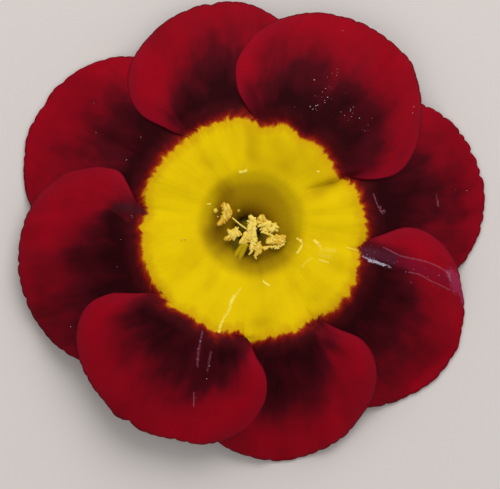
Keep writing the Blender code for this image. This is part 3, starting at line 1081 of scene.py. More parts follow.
LOBES = (
    Lobe("right", 12.5, 11.4, 17.85, 7.35, 7.1, 5.0, 6.4, Side.UNDER, Side.UNDER, 30.2, 7.9,
         (8.42, 8.55, 8.0), 5.9, -0.2, 1.25,
         folds=(Fold(0.1, 0.1, 0.3, 1.0, 0.1), Fold(-0.45, 0.1, 0.2, 0.8, -0.1)),
         bumps=(Bump(0.42, 0.1, 0.07), Bump(0.18, 0.03, -0.07), Bump(0.0, 0.12, 0.06),
                Bump(0.75, 0.16, -0.08)),
         tongues=(Bump(0.17, 0.15, -0.32),), scallop=1.7),
    Lobe("upper_right", 57.0, 10.4, 17.6, 8.0, 7.1, 3.8, 4.0, Side.OVER, Side.OVER, 86.5, 8.05,
         (7.65, 8.0, 7.82), 5.0, 0.02, 1.12,
         folds=(Fold(0.15, 0.14, 0.3, 1.1, 0.12), Fold(-0.5, 0.12, 0.2, 0.9, -0.1)),
         bumps=(Bump(-0.33, 0.1, 0.2), Bump(0.3, 0.03, -0.06), Bump(-0.75, 0.16, -0.1)),
         tongues=(Bump(0.06, 0.15, -0.24), Bump(0.48, 0.12, 0.12), Bump(0.77, 0.08, -0.2)),
         scallop=0.7),
    Lobe("top", 98.5, 11.5, 17.22, 7.5, 5.8, 4.4, 4.8, Side.OVER, Side.UNDER, 124.5, 8.3,
         (8.0, 8.35, 8.25), 4.9, -0.25, 1.1, (0.28, 0.0),
         (Fold(0.2, 0.14, 0.3, 1.0, 0.14),),
         (Bump(0.04, 0.03, -0.1), Bump(0.13, 0.05, 0.08), Bump(-0.5, 0.18, -0.1),
          Bump(0.6, 0.18, -0.1)),
         (Bump(-0.5, 0.12, 0.08), Bump(0.52, 0.14, 0.2)), 0.5),
    Lobe("upper_left", 151.5, 11.6, 18.28, 7.55, 7.6, 5.0, 6.4, Side.UNDER, Side.UNDER, 168.0, 8.15,
         (8.15, 8.35, 8.2), 4.4, -0.15, 1.35,
         folds=(Fold(-0.07, 0.08, 0.1, 0.62, -0.3), Fold(0.2, 0.1, 0.2, 0.8, 0.16),
                Fold(0.5, 0.09, 0.3, 0.75, -0.2)),
         bumps=(Bump(-0.066, 0.03, -0.14), Bump(0.16, 0.14, 0.12), Bump(-0.2, 0.05, 0.08),
                Bump(0.6, 0.2, 0.1)),
         tongues=(Bump(-0.6, 0.16, 0.14), Bump(-0.06, 0.12, -0.18), Bump(0.43, 0.12, 0.18)),
         scallop=0.8),
    Lobe("left", 193.5, 10.7, 17.8, 7.8, 7.55, 5.3, 4.2, Side.UNDER, Side.OVER, 217.0, 8.1,
         (7.95, 8.25, 8.2), 6.4, 0.45, 1.15, (0.0, 1.2), waist_end=0.35,
         folds=(Fold(0.35, 0.1, 0.3, 1.0, 0.1), Fold(0.0, 0.08, 0.3, 0.9, -0.1)),
         bumps=(Bump(0.6, 0.2, 0.12), Bump(-0.3, 0.14, -0.09)),
         tongues=(Bump(-0.8, 0.1, -0.2), Bump(-0.52, 0.09, 0.2), Bump(0.54, 0.12, 0.18),
                  Bump(0.38, 0.07, -0.12))),
    Lobe("lower_left", 242.5, 11.2, 17.15, 7.05, 8.28, 3.9, 3.2, Side.OVER, Side.OVER, 267.0, 8.0,
         (8.05, 8.05, 7.68), 5.2, 0.0, 1.05, (0.42, 0.42),
         (Fold(-0.25, 0.08, 0.55, 1.1, 0.16), Fold(0.3, 0.12, 0.2, 0.9, -0.08)),
         (Bump(-0.22, 0.06, 0.2), Bump(-0.125, 0.022, -0.2), Bump(0.24, 0.16, -0.24),
          Bump(-0.02, 0.06, 0.08)),
         (Bump(-0.66, 0.16, 0.36), Bump(-0.2, 0.14, -0.2), Bump(0.31, 0.12, 0.24),
          Bump(0.76, 0.1, -0.1)), 0.8),
    Lobe("bottom", 281.0, 11.6, 17.55, 7.2, 6.8, 4.3, 5.4, Side.OVER, Side.UNDER, 305.5, 8.2,
         (8.5, 8.2, 8.12), 5.3, -0.2, 0.95, (0.45, 0.0),
         (Fold(0.0, 0.12, 0.3, 1.0, 0.08),),
         (Bump(-0.1, 0.15, 0.1), Bump(0.62, 0.14, -0.2), Bump(-0.4, 0.1, -0.06)),
         (Bump(-0.32, 0.15, -0.2), Bump(0.36, 0.14, 0.28)), 0.8),
    Lobe("lower_right", 325.5, 11.3, 17.9, 7.25, 7.1, 4.5, 5.9, Side.OVER, Side.UNDER, 351.3, 8.15,
         (8.35, 8.72, 8.1), 4.9, -0.05, 1.05, (0.26, 0.0),
         (Fold(-0.18, 0.09, 0.3, 0.9, 0.24), Fold(-0.4, 0.1, 0.2, 0.8, -0.12),
          Fold(0.25, 0.1, 0.3, 1.0, 0.1)),
         (Bump(0.12, 0.08, 0.16), Bump(-0.08, 0.14, 0.12), Bump(0.6, 0.18, -0.24),
          Bump(-0.5, 0.16, -0.12)),
         (Bump(-0.38, 0.08, 0.1), Bump(-0.02, 0.12, -0.15), Bump(0.74, 0.06, 0.14)), 0.9),
)


@dataclass(frozen=True)
class ToneAndShading:
    """A soft patch round a pixel where the colour is brighter, or darker if gain is negative: partly the
    crimson's own uneven tone, partly painted light and painted shade, as on lobes that droop away from
    the lamp, under overlapping margins, along the eye's furrows and in the throat.
    """

    pixel: Point
    reach: float
    gain: float


# Patches of the crimson's own tone together with painted light and painted shade; the negative ones in
# the eye and the throat are painted shade.
TONE_AND_SHADING = tuple(ToneAndShading((column, row), reach, gain) for column, row, reach, gain in (
    (150, 84, 1.9, 0.22), (168, 108, 1.2, -0.25), (120, 88, 1.1, -0.2), (268, 76, 1.2, 0.22),
    (240, 62, 1.2, 0.1), (128, 112, 1.5, -0.15), (400, 130, 1.6, 0.12), (96, 180, 1.4, 0.12),
    (130, 250, 2.0, -0.1), (160, 302, 1.1, -0.45), (100, 330, 2.0, 0.24), (150, 360, 1.4, 0.12),
    (250, 372, 1.3, 0.35), (350, 365, 1.2, 0.18), (327, 338, 1.2, -0.85), (290, 388, 1.2, -0.42),
    (300, 436, 2.6, 0.33), (218, 412, 1.8, 0.7), (410, 322, 1.2, -0.25), (430, 352, 1.6, -0.3),
    (392, 392, 1.3, -0.3), (432, 254, 1.6, 0.35), (450, 312, 1.2, 0.1), (325, 68, 1.2, -0.32),
    (60, 290, 1.6, 0.06), (50, 330, 1.6, -0.18), (310, 418, 1.2, -0.15), (90, 146, 1.6, -0.38),
    (124, 210, 1.3, -0.95), (176, 124, 0.9, -0.75), (371, 112, 1.3, -0.32),
    (376, 150, 0.9, -0.35), (136, 294, 0.6, -0.5), (166, 373, 1.1, -0.22), (130, 320, 1.5, 0.22),
    (118, 372, 1.5, 0.35), (440, 166, 1.3, 0.18), (34, 262, 1.5, -0.16), (392, 160, 1.3, -0.22),
    (180, 425, 1.6, 0.35), (60, 156, 1.4, -0.32), (218, 90, 1.2, -0.22), (150, 405, 1.4, 0.25),
    (125, 386, 1.2, 0.2), (243, 412, 1.1, 0.25), (270, 442, 1.4, 0.4), (334, 430, 1.3, 0.35),
    (150, 58, 1.2, 0.35), (332, 24, 1.4, 0.35), (30, 250, 1.1, -0.25), (42, 302, 1.3, -0.3),
    (65, 262, 1.8, -0.14), (412, 288, 1.1, -0.22), (200, 350, 1.3, 0.2), (268, 98, 0.9, 0.3),
    (345, 100, 1.1, -0.25), (440, 330, 1.3, -0.15), (220, 214, 0.9, -0.45),
    (213, 232, 0.9, -0.5), (221, 252, 1.0, -0.36), (250, 266, 1.0, -0.28),
    (264, 263, 0.9, -0.26), (280, 258, 1.1, -0.42), (293, 236, 1.0, -0.38),
    (222, 192, 1.2, -0.3), (270, 196, 1.2, -0.12), (318, 170, 1.5, -0.32),
    (284, 152, 1.6, -0.24), (332, 184, 0.6, -0.3), (252, 140, 0.75, -0.3),
    (204, 164, 1.1, -0.22), (348, 200, 0.9, -0.2), (178, 274, 0.9, -0.2),
    (258, 322, 0.8, -0.18), (278, 312, 1.0, -0.13), (314, 296, 0.9, -0.24),
    (334, 262, 1.6, -0.25), (262, 284, 1.4, -0.22), (298, 262, 1.0, -0.18),
    (302, 200, 1.0, -0.22), (158, 196, 0.8, -0.15), (259, 166, 1.0, -0.22),
    (286, 172, 1.0, -0.22), (304, 148, 0.7, -0.16), (320, 192, 0.7, -0.28),
    (272, 140, 0.9, -0.16), (250, 126, 0.75, -0.32), (138, 212, 0.8, -0.6),
    (124, 163, 1.3, 0.3), (190, 333, 1.0, 0.35), (160, 313, 0.9, 0.4), (75, 112, 1.3, -0.22),
    (112, 138, 1.2, -0.28), (196, 112, 1.2, 0.2), (388, 312, 1.0, -0.2), (388, 338, 1.0, -0.2),
    (418, 160, 1.2, -0.18), (226, 189, 0.9, -0.22), (211, 240, 0.8, -0.2),
    (251, 154, 0.75, -0.3), (255, 325, 1.0, -0.1), (271, 326, 0.9, -0.14),
    (245, 254, 0.3, -0.5), (241, 264, 0.5, -0.28), (337, 180, 0.5, -0.22),
))


@dataclass(frozen=True)
class Crease:
    """A small step in the eye, where the foot of one lobe lies over the next. It runs from the
    start pixel to the end pixel, and the skin on its left is the higher."""

    start: Point
    end: Point
    step: float
    width: float = 0.1
    reach: float = 0.9


CREASES = (
    Crease((301, 190), (346, 175), 0.5, 0.07, 1.0),
    Crease((259, 150), (258, 118), -0.12, 0.1, 0.6),
    Crease((206, 162), (184, 137), 0.06, 0.14, 0.7),
    Crease((178, 210), (144, 206), -0.06, 0.14, 0.7),
    Crease((184, 276), (165, 293), 0.07, 0.14, 0.7),
    Crease((244, 296), (243, 341), 0.1, 0.1, 0.6),
    Crease((300, 300), (322, 325), 0.13, 0.07, 0.6),
    Crease((330, 241), (361, 246), 0.06, 0.14, 0.7),
    Crease((214, 252), (196, 268), 0.03, 0.16, 0.5),
)


@dataclass
class Corolla:
    """The whole corolla as one sheet: the tube and the eye are a grid that runs round the
    tube's axis, and each lobe is a four-sided patch that grows out of the eye's edge. On a
    lobe, s goes from -1 at its right margin to 1 at its left, and t from 0 at the eye to 1 at
    the tip."""

    lobes: tuple[Lobe, ...] = LOBES
    creases: tuple[Crease, ...] = CREASES
    tone_and_shading: tuple[ToneAndShading, ...] = TONE_AND_SHADING
    mouth: Point = (0.06, 0.46)  # the throat's middle at its mouth
    hole: Point = (-0.24, 0.0)  # and where it is narrowest
    mouth_radius: float = 3.4
    hole_shade: Point = (247.0, 239.0)  # the pixel in the middle of the throat's darkest part
    sheet: float = 0.34  # thickness in the middle of a lobe
    thin_edge: float = 0.5  # share of it that is left at a margin
    thin_width: float = 1.6  # distance from the margin over which it thins
    limb_height: float = 5.62
    flat_radius: float = 8.0  # the arch begins here, and has its full droop at the rim
    rim_radius: float = 17.5
    arch_power: float = 1.4
    layer: float = 0.32  # a margin on top rises by this, one below sinks by it
    layer_run: float = 1.1  # distance over which the layers part
    layer_turn: float = 0.45  # place across a lobe where the change from side to side ends
    crown: float = 0.28  # a lobe is higher in the middle than at its sides
    crown_end: float = 0.8  # share of half a wave that the crown makes along the lobe
    fold_ease: float = 0.2  # share of the lobe over which a fold begins and ends
    roll_width: float = 1.3  # how far in from an overlying margin it begins to roll down
    roll_drop: float = 0.26
    roll_least: float = 0.45  # share of it that a margin which lies below has
    squareness: float = 2.05
    shoulder: float = 78.0  # where the oval's side margins end and its tip begins
    ruffle: float = 0.22
    ruffle_waves: float = 3.2
    fine_ruffle: Point = (7.3, 0.4)  # waves and share of a finer ruffle
    scallop: float = 0.19  # greatest depth of the nicks in the tip's margin
    scallop_width: float = 0.17
    scallop_lengths: Point = (0.55, 1.2)
    scallop_count: int = 30
    scallop_start: float = -12.0
    throat_radius: float = 0.95
    tube_end: float = 0.09  # distance outside it at the tube's lower end
    funnel_width: float = 2.95
    funnel_length: float = 1.0
    funnel_turn: float = 2.6
    dish_depth: float = 0.38
    dish_width: float = 2.1
    row_power: float = 1.8  # crowds the eye's rows in the throat
    eye_rows: int = 44
    eye_columns: int = 48  # to each lobe
    lobe_rows: int = 36
    seed: int = 21
    relief_start: Point = (3.6, 2.6)  # radius where the eye's relief begins, and the run
    relief_end: Point = (11.0, 2.5)  # over which it grows, and the same for its end
    sector: float = 0.26  # how far the eye sinks along the joins
    sector_rise: float = 0.8
    crease_start: float = 1.6  # a crease grows this many times as fast as its length
    crease_end: float = 1.6  # and fades over this distance past its end
    ray_radius: float = 8.4
    ray_relief: float = 0.018
    ray_waves: tuple[Point, ...] = ((11, 0.4), (17, 2.1), (25, 5.0))  # how many, from where
    scar_slack: float = 0.08
    bruises: tuple[Scar, ...] = BRUISES
    scars: tuple[Scar, ...] = EYE_SCARS + LOBE_SCARS

    @property
    def joins(self) -> list[float]:
        """Directions of the joins in degrees, from the one before the first lobe."""
        return [self.lobes[-1].join - 360.0, *(lobe.join for lobe in self.lobes)]

    def join_place(self, index: int) -> Array:
        """Where lobe number index parts from the next one."""
        return polar(self.lobes[index].join_radius, math.radians(self.lobes[index].join))

    @staticmethod
    def eased(angle: Array, marks: list[float], values: list[float]) -> Array:
        """Ease between values given at directions all round.

        Args:
            angle: directions in radians.
            marks: rising directions in degrees at which the values hold.
            values: the values there.

        Returns:
            value + (next value - value) x ease(share of the way between the two marks).
        """
        count = len(marks)
        ends = [marks[-1] - 360.0, *marks, marks[0] + 360.0]
        place = np.interp(np.degrees(angle) % 360.0, ends, np.arange(-1, count + 1))
        index = np.floor(place).astype(int)
        table = np.array(values)
        here, there = table[index % count], table[(index + 1) % count]
        return here + (there - here) * smooth(place - index)

    def eye_edge(self, angle: Array) -> Array:
        """Radius at which the lobes begin, eased between their middles and their joins."""
        ends = [((lobe.direction, lobe.yellow[1]), (lobe.join, lobe.join_radius)) for lobe in self.lobes]
        return self.eased(angle, *np.reshape(ends, (-1, 2)).T.tolist())

    def yellow_edge(self, index: Array | int, s: Array) -> Array:
        """Radius at which yellow turns to crimson: eased from a lobe's right end to its middle
        and on to its left end, with a jump at a join, plus the lobe's tongues.

        Args:
            index: the lobes' numbers.
            s: places across them.

        Returns:
            The radius at each.
        """
        right, middle, left = np.array([lobe.yellow for lobe in self.lobes]).T[:, index]
        edge = np.where(s < 0, right + (middle - right) * smooth(s + 1.0),
                        middle + (left - middle) * smooth(s))
        for number, lobe in enumerate(self.lobes):
            for tongue in lobe.tongues:
                edge += (index == number) * tongue.push * bell((s - tongue.place) / tongue.width)
        return edge

    def funnel(self, outside: Array) -> Array:
        """Depth at a distance outside the throat: length / turn x ln(1 + (width / d)^turn) + dish."""
        steep = np.log1p((self.funnel_width / outside) ** self.funnel_turn) / self.funnel_turn
        return self.funnel_length * steep + self.dish_depth * np.exp(-outside / self.dish_width)

    def axis(self, radius: Array) -> tuple[Array, Array]:
        """Middle of the throat's ring of a radius: it goes from the bloom's middle where the
        limb is flat to the mouth's, and on to the narrow end's.

        Args:
            radius: the rings' radii.

        Returns:
            x and y of each middle.
        """
        up = smooth((self.flat_radius - radius) / (self.flat_radius - self.mouth_radius))
        down = smooth((self.mouth_radius - radius) / (self.mouth_radius - self.throat_radius))
        return tuple(up * mouth + down * (hole - mouth)
                     for mouth, hole in zip(self.mouth, self.hole))

    def throat(self, x: Array, y: Array) -> Array:
        """Radius of the throat's ring through a place, found by going round six times: the
        distance from the middle of the ring that the last round gave.

        Args:
            x: places across.
            y: places up.

        Returns:
            The radius at each.
        """
        radius = np.hypot(x, y)
        for _ in range(6):
            middle = self.axis(radius)
            radius = np.hypot(x - middle[0], y - middle[1])
        return np.maximum(radius, self.throat_radius + self.tube_end)

    def tone(self, x: Array, y: Array) -> Array:
        """Sum of the patches of tone and painted light and shade: gain times a bell of the distance over
        the reach.
        """
        return sum(patch.gain * bell(away_from(patch.pixel, x, y) / patch.reach)
                   for patch in self.tone_and_shading)

    def relief(self, x: Array, y: Array) -> Array:
        """Relief of the eye: sectors that sink along the joins, low rays, and the creases. A
        crease is step / 2 x tanh(d / width), d being the distance to its left, under a bell
        over d and a window along it.

        Args:
            x: places across.
            y: places up.

        Returns:
            The height at each.
        """
        radius = np.hypot(x, y)
        turned = (np.degrees(np.arctan2(y, x)) - self.joins[0]) % 360.0 + self.joins[0]
        position = np.interp(turned, self.joins, np.arange(len(self.joins)))
        (start, rise), (end, fall) = self.relief_start, self.relief_end
        window = smooth((radius - start) / rise) * smooth((end - radius) / fall)
        sector = (np.sin(math.pi * (position % 1.0)) ** 2 + 0.02) ** 0.35
        turn = FULL_TURN * position / len(self.lobes)
        rays = sum(np.sin(count * turn + phase + 0.9 * np.sin(3.0 * turn) + 0.25 * radius)
                   for count, phase in self.ray_waves)
        height = (self.sector * (sector - self.sector_rise) + self.ray_relief * rays) * window
        for crease in self.creases:
            along, aside, length = beside(PHOTO.place(crease.start), PHOTO.place(crease.end), x, y)
            fade = (smooth(along / length * self.crease_start)
                    * smooth(1.0 + (length - along) / self.crease_end))
            edge = 0.5 * crease.step * np.tanh(aside / crease.width)
            height += edge * bell(aside / crease.reach) * fade
        return height

    def base_height(self, x: Array, y: Array) -> Array:
        """Height of the sheet's middle without layers: the limb's height, less the arch
        (droop x share^power beyond the flat part), less the funnel, plus the eye's relief.

        Args:
            x: places across.
            y: places up.

        Returns:
            The height at each.
        """
        droop = self.eased(np.arctan2(y, x), [lobe.direction for lobe in self.lobes],
                           [lobe.droop for lobe in self.lobes])
        beyond = (np.hypot(x, y) - self.flat_radius) / (self.rim_radius - self.flat_radius)
        arch = droop * np.maximum(beyond, 0.0) ** self.arch_power
        outside = self.throat(x, y) - self.throat_radius
        return self.limb_height - arch - self.funnel(outside) + self.relief(x, y)

    def lobe_height(self, lobe: Lobe, x: Array, y: Array, s: Array, t: Array,
                    rim: Array) -> Array:
        """Height of a lobe's middle: the base, plus layer, crown, folds, ruffle and rolled
        margin, each growing from nothing at the eye's edge.

        Args:
            lobe: the lobe.
            x: places across.
            y: places up.
            s: place across the lobe.
            t: place along it.
            rim: distance from the nearest margin.

        Returns:
            The height, no lower than half the sheet's thickness.
        """
        outward = np.hypot(x, y) - self.eye_edge(np.arctan2(y, x))
        parted = smooth(outward / self.layer_run)
        left, right = lobe.left_side.value, lobe.right_side.value
        to_left = smooth((s + self.layer_turn) / (2.0 * self.layer_turn))
        height = self.base_height(x, y) + parted * self.layer * (right + (left - right) * to_left)
        arched = np.sin(math.pi * t * self.crown_end)
        height += self.crown * parted * (1.0 - s ** 2) * arched
        for fold in lobe.folds:
            window = (smooth((t - fold.start) / self.fold_ease)
                      * smooth((fold.end - t) / self.fold_ease))
            height += fold.rise * bell((s - fold.place) / fold.width) * window
        over = lobe.lies_over(s) * smooth((np.abs(s) - 0.1) / 0.5)
        rolled = np.clip(1.0 - rim / self.roll_width, 0.0, 1.0) ** 2
        share = self.roll_least + (1.0 - self.roll_least) * over
        height -= parted * rolled * self.roll_drop * share
        phase = math.radians(2.3 * lobe.direction)
        waves, fine = self.fine_ruffle
        wave = (np.sin(math.pi * self.ruffle_waves * s + phase)
                + fine * np.sin(math.pi * waves * s - phase))
        height += self.ruffle * np.cos(0.5 * math.pi * s) * t ** 3 * wave
        return np.maximum(height, 0.5 * self.sheet)

    def margin(self, lobe: Lobe, turn: Array | float) -> Array:
        """The lobe's oval outline: from its widest place, forward by the reach or heel times
        |cos|^p and sideways by the half-width times |sin|^p, with p = 2 / squareness.

        Args:
            lobe: the lobe.
            turn: directions from its widest place in radians, 0 towards the tip.

        Returns:
            x and y of each.
        """
        power = 2.0 / self.squareness
        along, across = np.cos(turn), np.sin(turn)
        ahead = np.where(along > 0, lobe.reach - lobe.widest, lobe.heel)
        half = np.where(across > 0, lobe.left, lobe.right)
        forward = lobe.widest + ahead * np.sign(along) * np.abs(along) ** power
        sideways = half * np.sign(across) * np.abs(across) ** power
        lean = math.radians(lobe.direction)
        return np.array((forward * math.cos(lean) - sideways * math.sin(lean),
                         forward * math.sin(lean) + sideways * math.cos(lean)))

    def side_margin(self, lobe: Lobe, side: int, join: Array, t: Array) -> Array:
        """A side margin from the join to the shoulder. It follows the oval from where that
        meets the eye's edge, is drawn to the join by a share (1 - t)^3, and towards the lobe's
        middle by waist x sin^2 over the waist's own stretch.

        Args:
            lobe: the lobe.
            side: 1 on its left, -1 on its right.
            join: where it parts from the next lobe.
            t: places along it.

        Returns:
            x and y of each.
        """
        turns = side * np.linspace(0.5 * math.pi, math.pi, 400)
        x, y = self.margin(lobe, turns)
        outside = np.hypot(x, y) > self.eye_edge(np.arctan2(y, x)) + 0.3
        end = turns[np.argmin(outside)]
        shoulder = side * math.radians(self.shoulder)
        path = self.margin(lobe, end + (shoulder - end) * t)
        pull = (join - self.margin(lobe, end))[:, None]
        lean = math.radians(lobe.direction)
        inwards = side * np.array(((math.sin(lean),), (-math.cos(lean),)))
        waist = lobe.waist[0 if side > 0 else 1]
        drawn = np.sin(math.pi * np.clip(t / lobe.waist_end, 0.0, 1.0)) ** 2
        return path + pull * (1.0 - t) ** 3 + inwards * waist * drawn

    def tip_push(self, index: int, s: Array) -> Array:
        """How far the tip's margin is pushed out: the lobe's bumps, less seeded nicks of depth
        x e^(-distance / width).

        Args:
            index: the lobe's number.
            s: places across it.

        Returns:
            The push at each.
        """
        lobe = self.lobes[index]
        rng = np.random.default_rng(self.seed + index)
        nicks = rng.uniform(*self.scallop_lengths, self.scallop_count)
        nicks = np.cumsum(nicks) + self.scallop_start
        depths = self.scallop * lobe.scallop * rng.uniform(0.25, 1.0, len(nicks))
        run = s * math.radians(self.shoulder) * 0.5 * (lobe.left + lobe.right)
        near = np.exp(-np.abs(run[:, None] - nicks) / self.scallop_width)
        push = -(depths * near).sum(axis=1) * np.cos(0.5 * math.pi * s) ** 0.3
        for bump in lobe.bumps:
            push += bump.push * bell((s - bump.place) / bump.width)
        return push

    def outline(self, index: int, s: Array, t: Array) -> Array:
        """Places in a lobe from above, as a patch blended from its four sides: the eye's edge
        (t = 0), the pushed margin of the tip (t = 1) and the two side margins.

        Args:
            index: the lobe's number.
            s: places across it.
            t: places along it.

        Returns:
            x and y.
        """
        lobe = self.lobes[index]
        share = 0.5 * (s + 1.0)
        joins = self.join_place(index - 1), self.join_place(index)
        right = self.side_margin(lobe, -1, joins[0], t)
        left = self.side_margin(lobe, 1, joins[1], t)
        shoulder = math.radians(self.shoulder)
        tip = self.margin(lobe, shoulder * s)
        start = math.radians(self.lobes[index - 1].join)
        sweep = (math.radians(lobe.join) - start) % FULL_TURN
        angle = start + sweep * share
        foot = polar(self.eye_edge(angle), angle)
        corners = self.margin(lobe, -shoulder), self.margin(lobe, shoulder)
        low, high = (np.outer(ends[0], 1.0 - share) + np.outer(ends[1], share)
                     for ends in (joins, corners))
        place = ((1.0 - t) * foot + t * tip + (1.0 - share) * right + share * left
                 - (1.0 - t) * low - t * high)
        return place * (1.0 + self.tip_push(index, s) * t ** 6 / lobe.reach)

    def skin(self, x: Array, y: Array, z: Array, position: Array, length: Array,
             **marks: Array | float) -> tuple[Array, dict[str, Array]]:
        """A grid's vertices and what the finishes read there. Its rays are a circle for the
        place round the flower, and a length along it.

        Args:
            x: places across.
            y: places up.
            z: height.
            position: place round the flower in lobes.
            length: how far out along its ray.
            marks: other values, the shade without its patches of tone and painted light and shade.

        Returns:
            The vertices, and one or three numbers a vertex by name.
        """
        # the patches add painted light and painted shade, with some of the crimson's own tone
        marks["shade"] = marks["shade"] + self.tone(x, y)
        marks["hole"] = away_from(self.hole_shade, x, y)
        across, up = polar(self.ray_radius, FULL_TURN * position / len(self.lobes))
        flat = {label: np.broadcast_to(values, x.shape).ravel()
                for label, values in marks.items()}
        return vertices(x, y, z), {"ray": vertices(across, up, length)} | flat

    def eye_grid(self) -> tuple[Array, dict[str, Array]]:
        """The tube and the eye: rows run outwards as (share of the way)^power, columns round.

        Returns:
            The vertices and their marks.
        """
        position = np.arange(self.eye_columns * len(self.lobes)) / self.eye_columns
        angle = np.radians(np.interp(position, np.arange(len(self.joins)), self.joins))
        share = np.linspace(0.0, 1.0, self.eye_rows)[:, None]
        edge = self.eye_edge(angle) - self.throat_radius
        radius = self.throat_radius + (self.tube_end * (1.0 - share)
                                       + edge * share ** self.row_power)
        x, y = polar(radius, np.broadcast_to(angle, radius.shape))
        across, up = self.axis(radius)
        x, y = x + across, y + up
        places = np.broadcast_to(position, x.shape)
        s = 2.0 * (places % 1.0) - 1.0
        outward = np.hypot(x, y) - self.yellow_edge(places.astype(int), s)
        joins = np.array([self.join_place(index) for index in range(len(self.lobes))])
        return self.skin(x, y, self.base_height(x, y), places, outward, outward=outward,
                         rim=from_points(x, y, joins), shade=0.0, rolled=0.0,
                         throat=self.throat(x, y), sheet=1.0)

    def dark_zone(self, lobe: Lobe, s: Array, outward: Array) -> Array:
        """Distance outward over the maroon zone's reach there, reach x (1 - |offset|^2.4)."""
        offset = 1.0 - np.abs((s - lobe.dark_place) / lobe.dark_half) ** 2.4
        return np.clip(outward / (lobe.dark_reach * np.clip(offset, 0.10, 1.0)), 0.0, 1.7)

    def lobe_grid(self, index: int) -> tuple[Array, dict[str, Array]]:
        """One lobe's patch with twice the eye's columns.

        Args:
            index: the lobe's number.

        Returns:
            The vertices, rows outwards from the eye's edge, and their marks.
        """
        lobe = self.lobes[index]
        t, s = np.meshgrid(np.linspace(0.0, 1.0, self.lobe_rows),
                           np.linspace(-1.0, 1.0, 2 * self.eye_columns + 1), indexing="ij")
        x, y = self.outline(index, s.ravel(), t.ravel()).reshape(2, *s.shape)
        places = np.stack((x, y), axis=-1)
        rim = from_points(x, y, np.concatenate((places[:, 0], places[-1], places[:, -1])))
        outward = np.hypot(x, y) - self.yellow_edge(index, s)
        # rolled marks where an overlying margin rolls down, for the finish's painted sheen
        rolled = (np.clip(1.0 - rim / self.roll_width, 0.0, 1.0) ** 1.5 * lobe.lies_over(s)
                  * smooth((np.abs(s) - 0.35) / 0.4) * smooth(outward / 2.5))
        length = np.maximum(outward, t * (lobe.reach - lobe.yellow[1]))
        sheet = self.thin_edge + (1.0 - self.thin_edge) * smooth(rim / self.thin_width)
        return self.skin(x, y, self.lobe_height(lobe, x, y, s, t, rim),
                         index + 0.5 * (s + 1.0), length, outward=outward, rim=rim,
                         shade=self.dark_zone(lobe, s, outward), rolled=rolled,
                         throat=np.hypot(x, y), sheet=sheet)

    def build(self, face: PetalFace, reverse: PetalReverse) -> None:
        """Join the eye's grid and the lobes' patches into one sheet and give it thickness.

        The eye's last row is the lobes' first. Each of its cells meets two of a lobe's, so it
        is closed by faces of five corners, and a lobe's own first row keeps only the vertices
        between the eye's.

        Args:
            face: finish of the upper skin.
            reverse: finish of the under skin.
        """
        around = self.eye_columns * len(self.lobes)
        fine = 2 * self.eye_columns + 1
        kept = np.r_[1:fine:2, fine:fine * self.lobe_rows]
        grids = [self.eye_grid()]
        faces, fives = [grid_faces(self.eye_rows - 1, around, closed=True)], []
        for index in range(len(self.lobes)):
            points, marks = self.lobe_grid(index)
            grids.append((points[kept], {label: values[kept] for label, values in marks.items()}))
            column = index * self.eye_columns + np.arange(self.eye_columns + 1)
            edge = (self.eye_rows - 1) * around + column % around
            number = np.empty(fine * self.lobe_rows, int)
            number[:fine:2] = edge
            number[kept] = self.eye_rows * around + index * len(kept) + np.arange(len(kept))
            faces.append(number[grid_faces(self.lobe_rows, fine)])
            five = (edge[:-1] - around, edge[:-1], number[1:fine:2], edge[1:], edge[1:] - around)
            fives.append(np.stack(five, axis=1))
        places = np.concatenate([points for points, _ in grids])
        marks = {label: np.concatenate([marks[label] for _, marks in grids]) for label in marks}
        sheet = np.round(marks.pop("sheet"), 2)
        for label, scars in (("bruise", self.bruises), ("scar", self.scars)):
            marks |= scar_marks(label, scars, places[:, 0], places[:, 1], self.scar_slack)
        piece = add_piece("corolla_sheet", places, faces + fives,
                          [face.build(), reverse.build()], marks)
        group = piece.vertex_groups.new(name="sheet")
        for level in np.unique(sheet):
            group.add(np.flatnonzero(sheet == level).tolist(), float(level), "REPLACE")
        wall = give_wall(piece, self.sheet)
        wall.vertex_group = group.name
        wall.material_offset = 1
        settle(piece, "crimson_lobe", "corolla_lobes", "corolla_eye")


# Stamens, pistil, calyx, stalk

@dataclass(frozen=True)
class Anther:
    """One opened and shrivelled anther as the photograph shows it: arms that run through
    pixels, and how wide they are. The tint goes from 0, pale, to 1, orange."""

    width: float
    tint: float
    arms: tuple[tuple[Point, ...], ...]
    stalk: bool = True


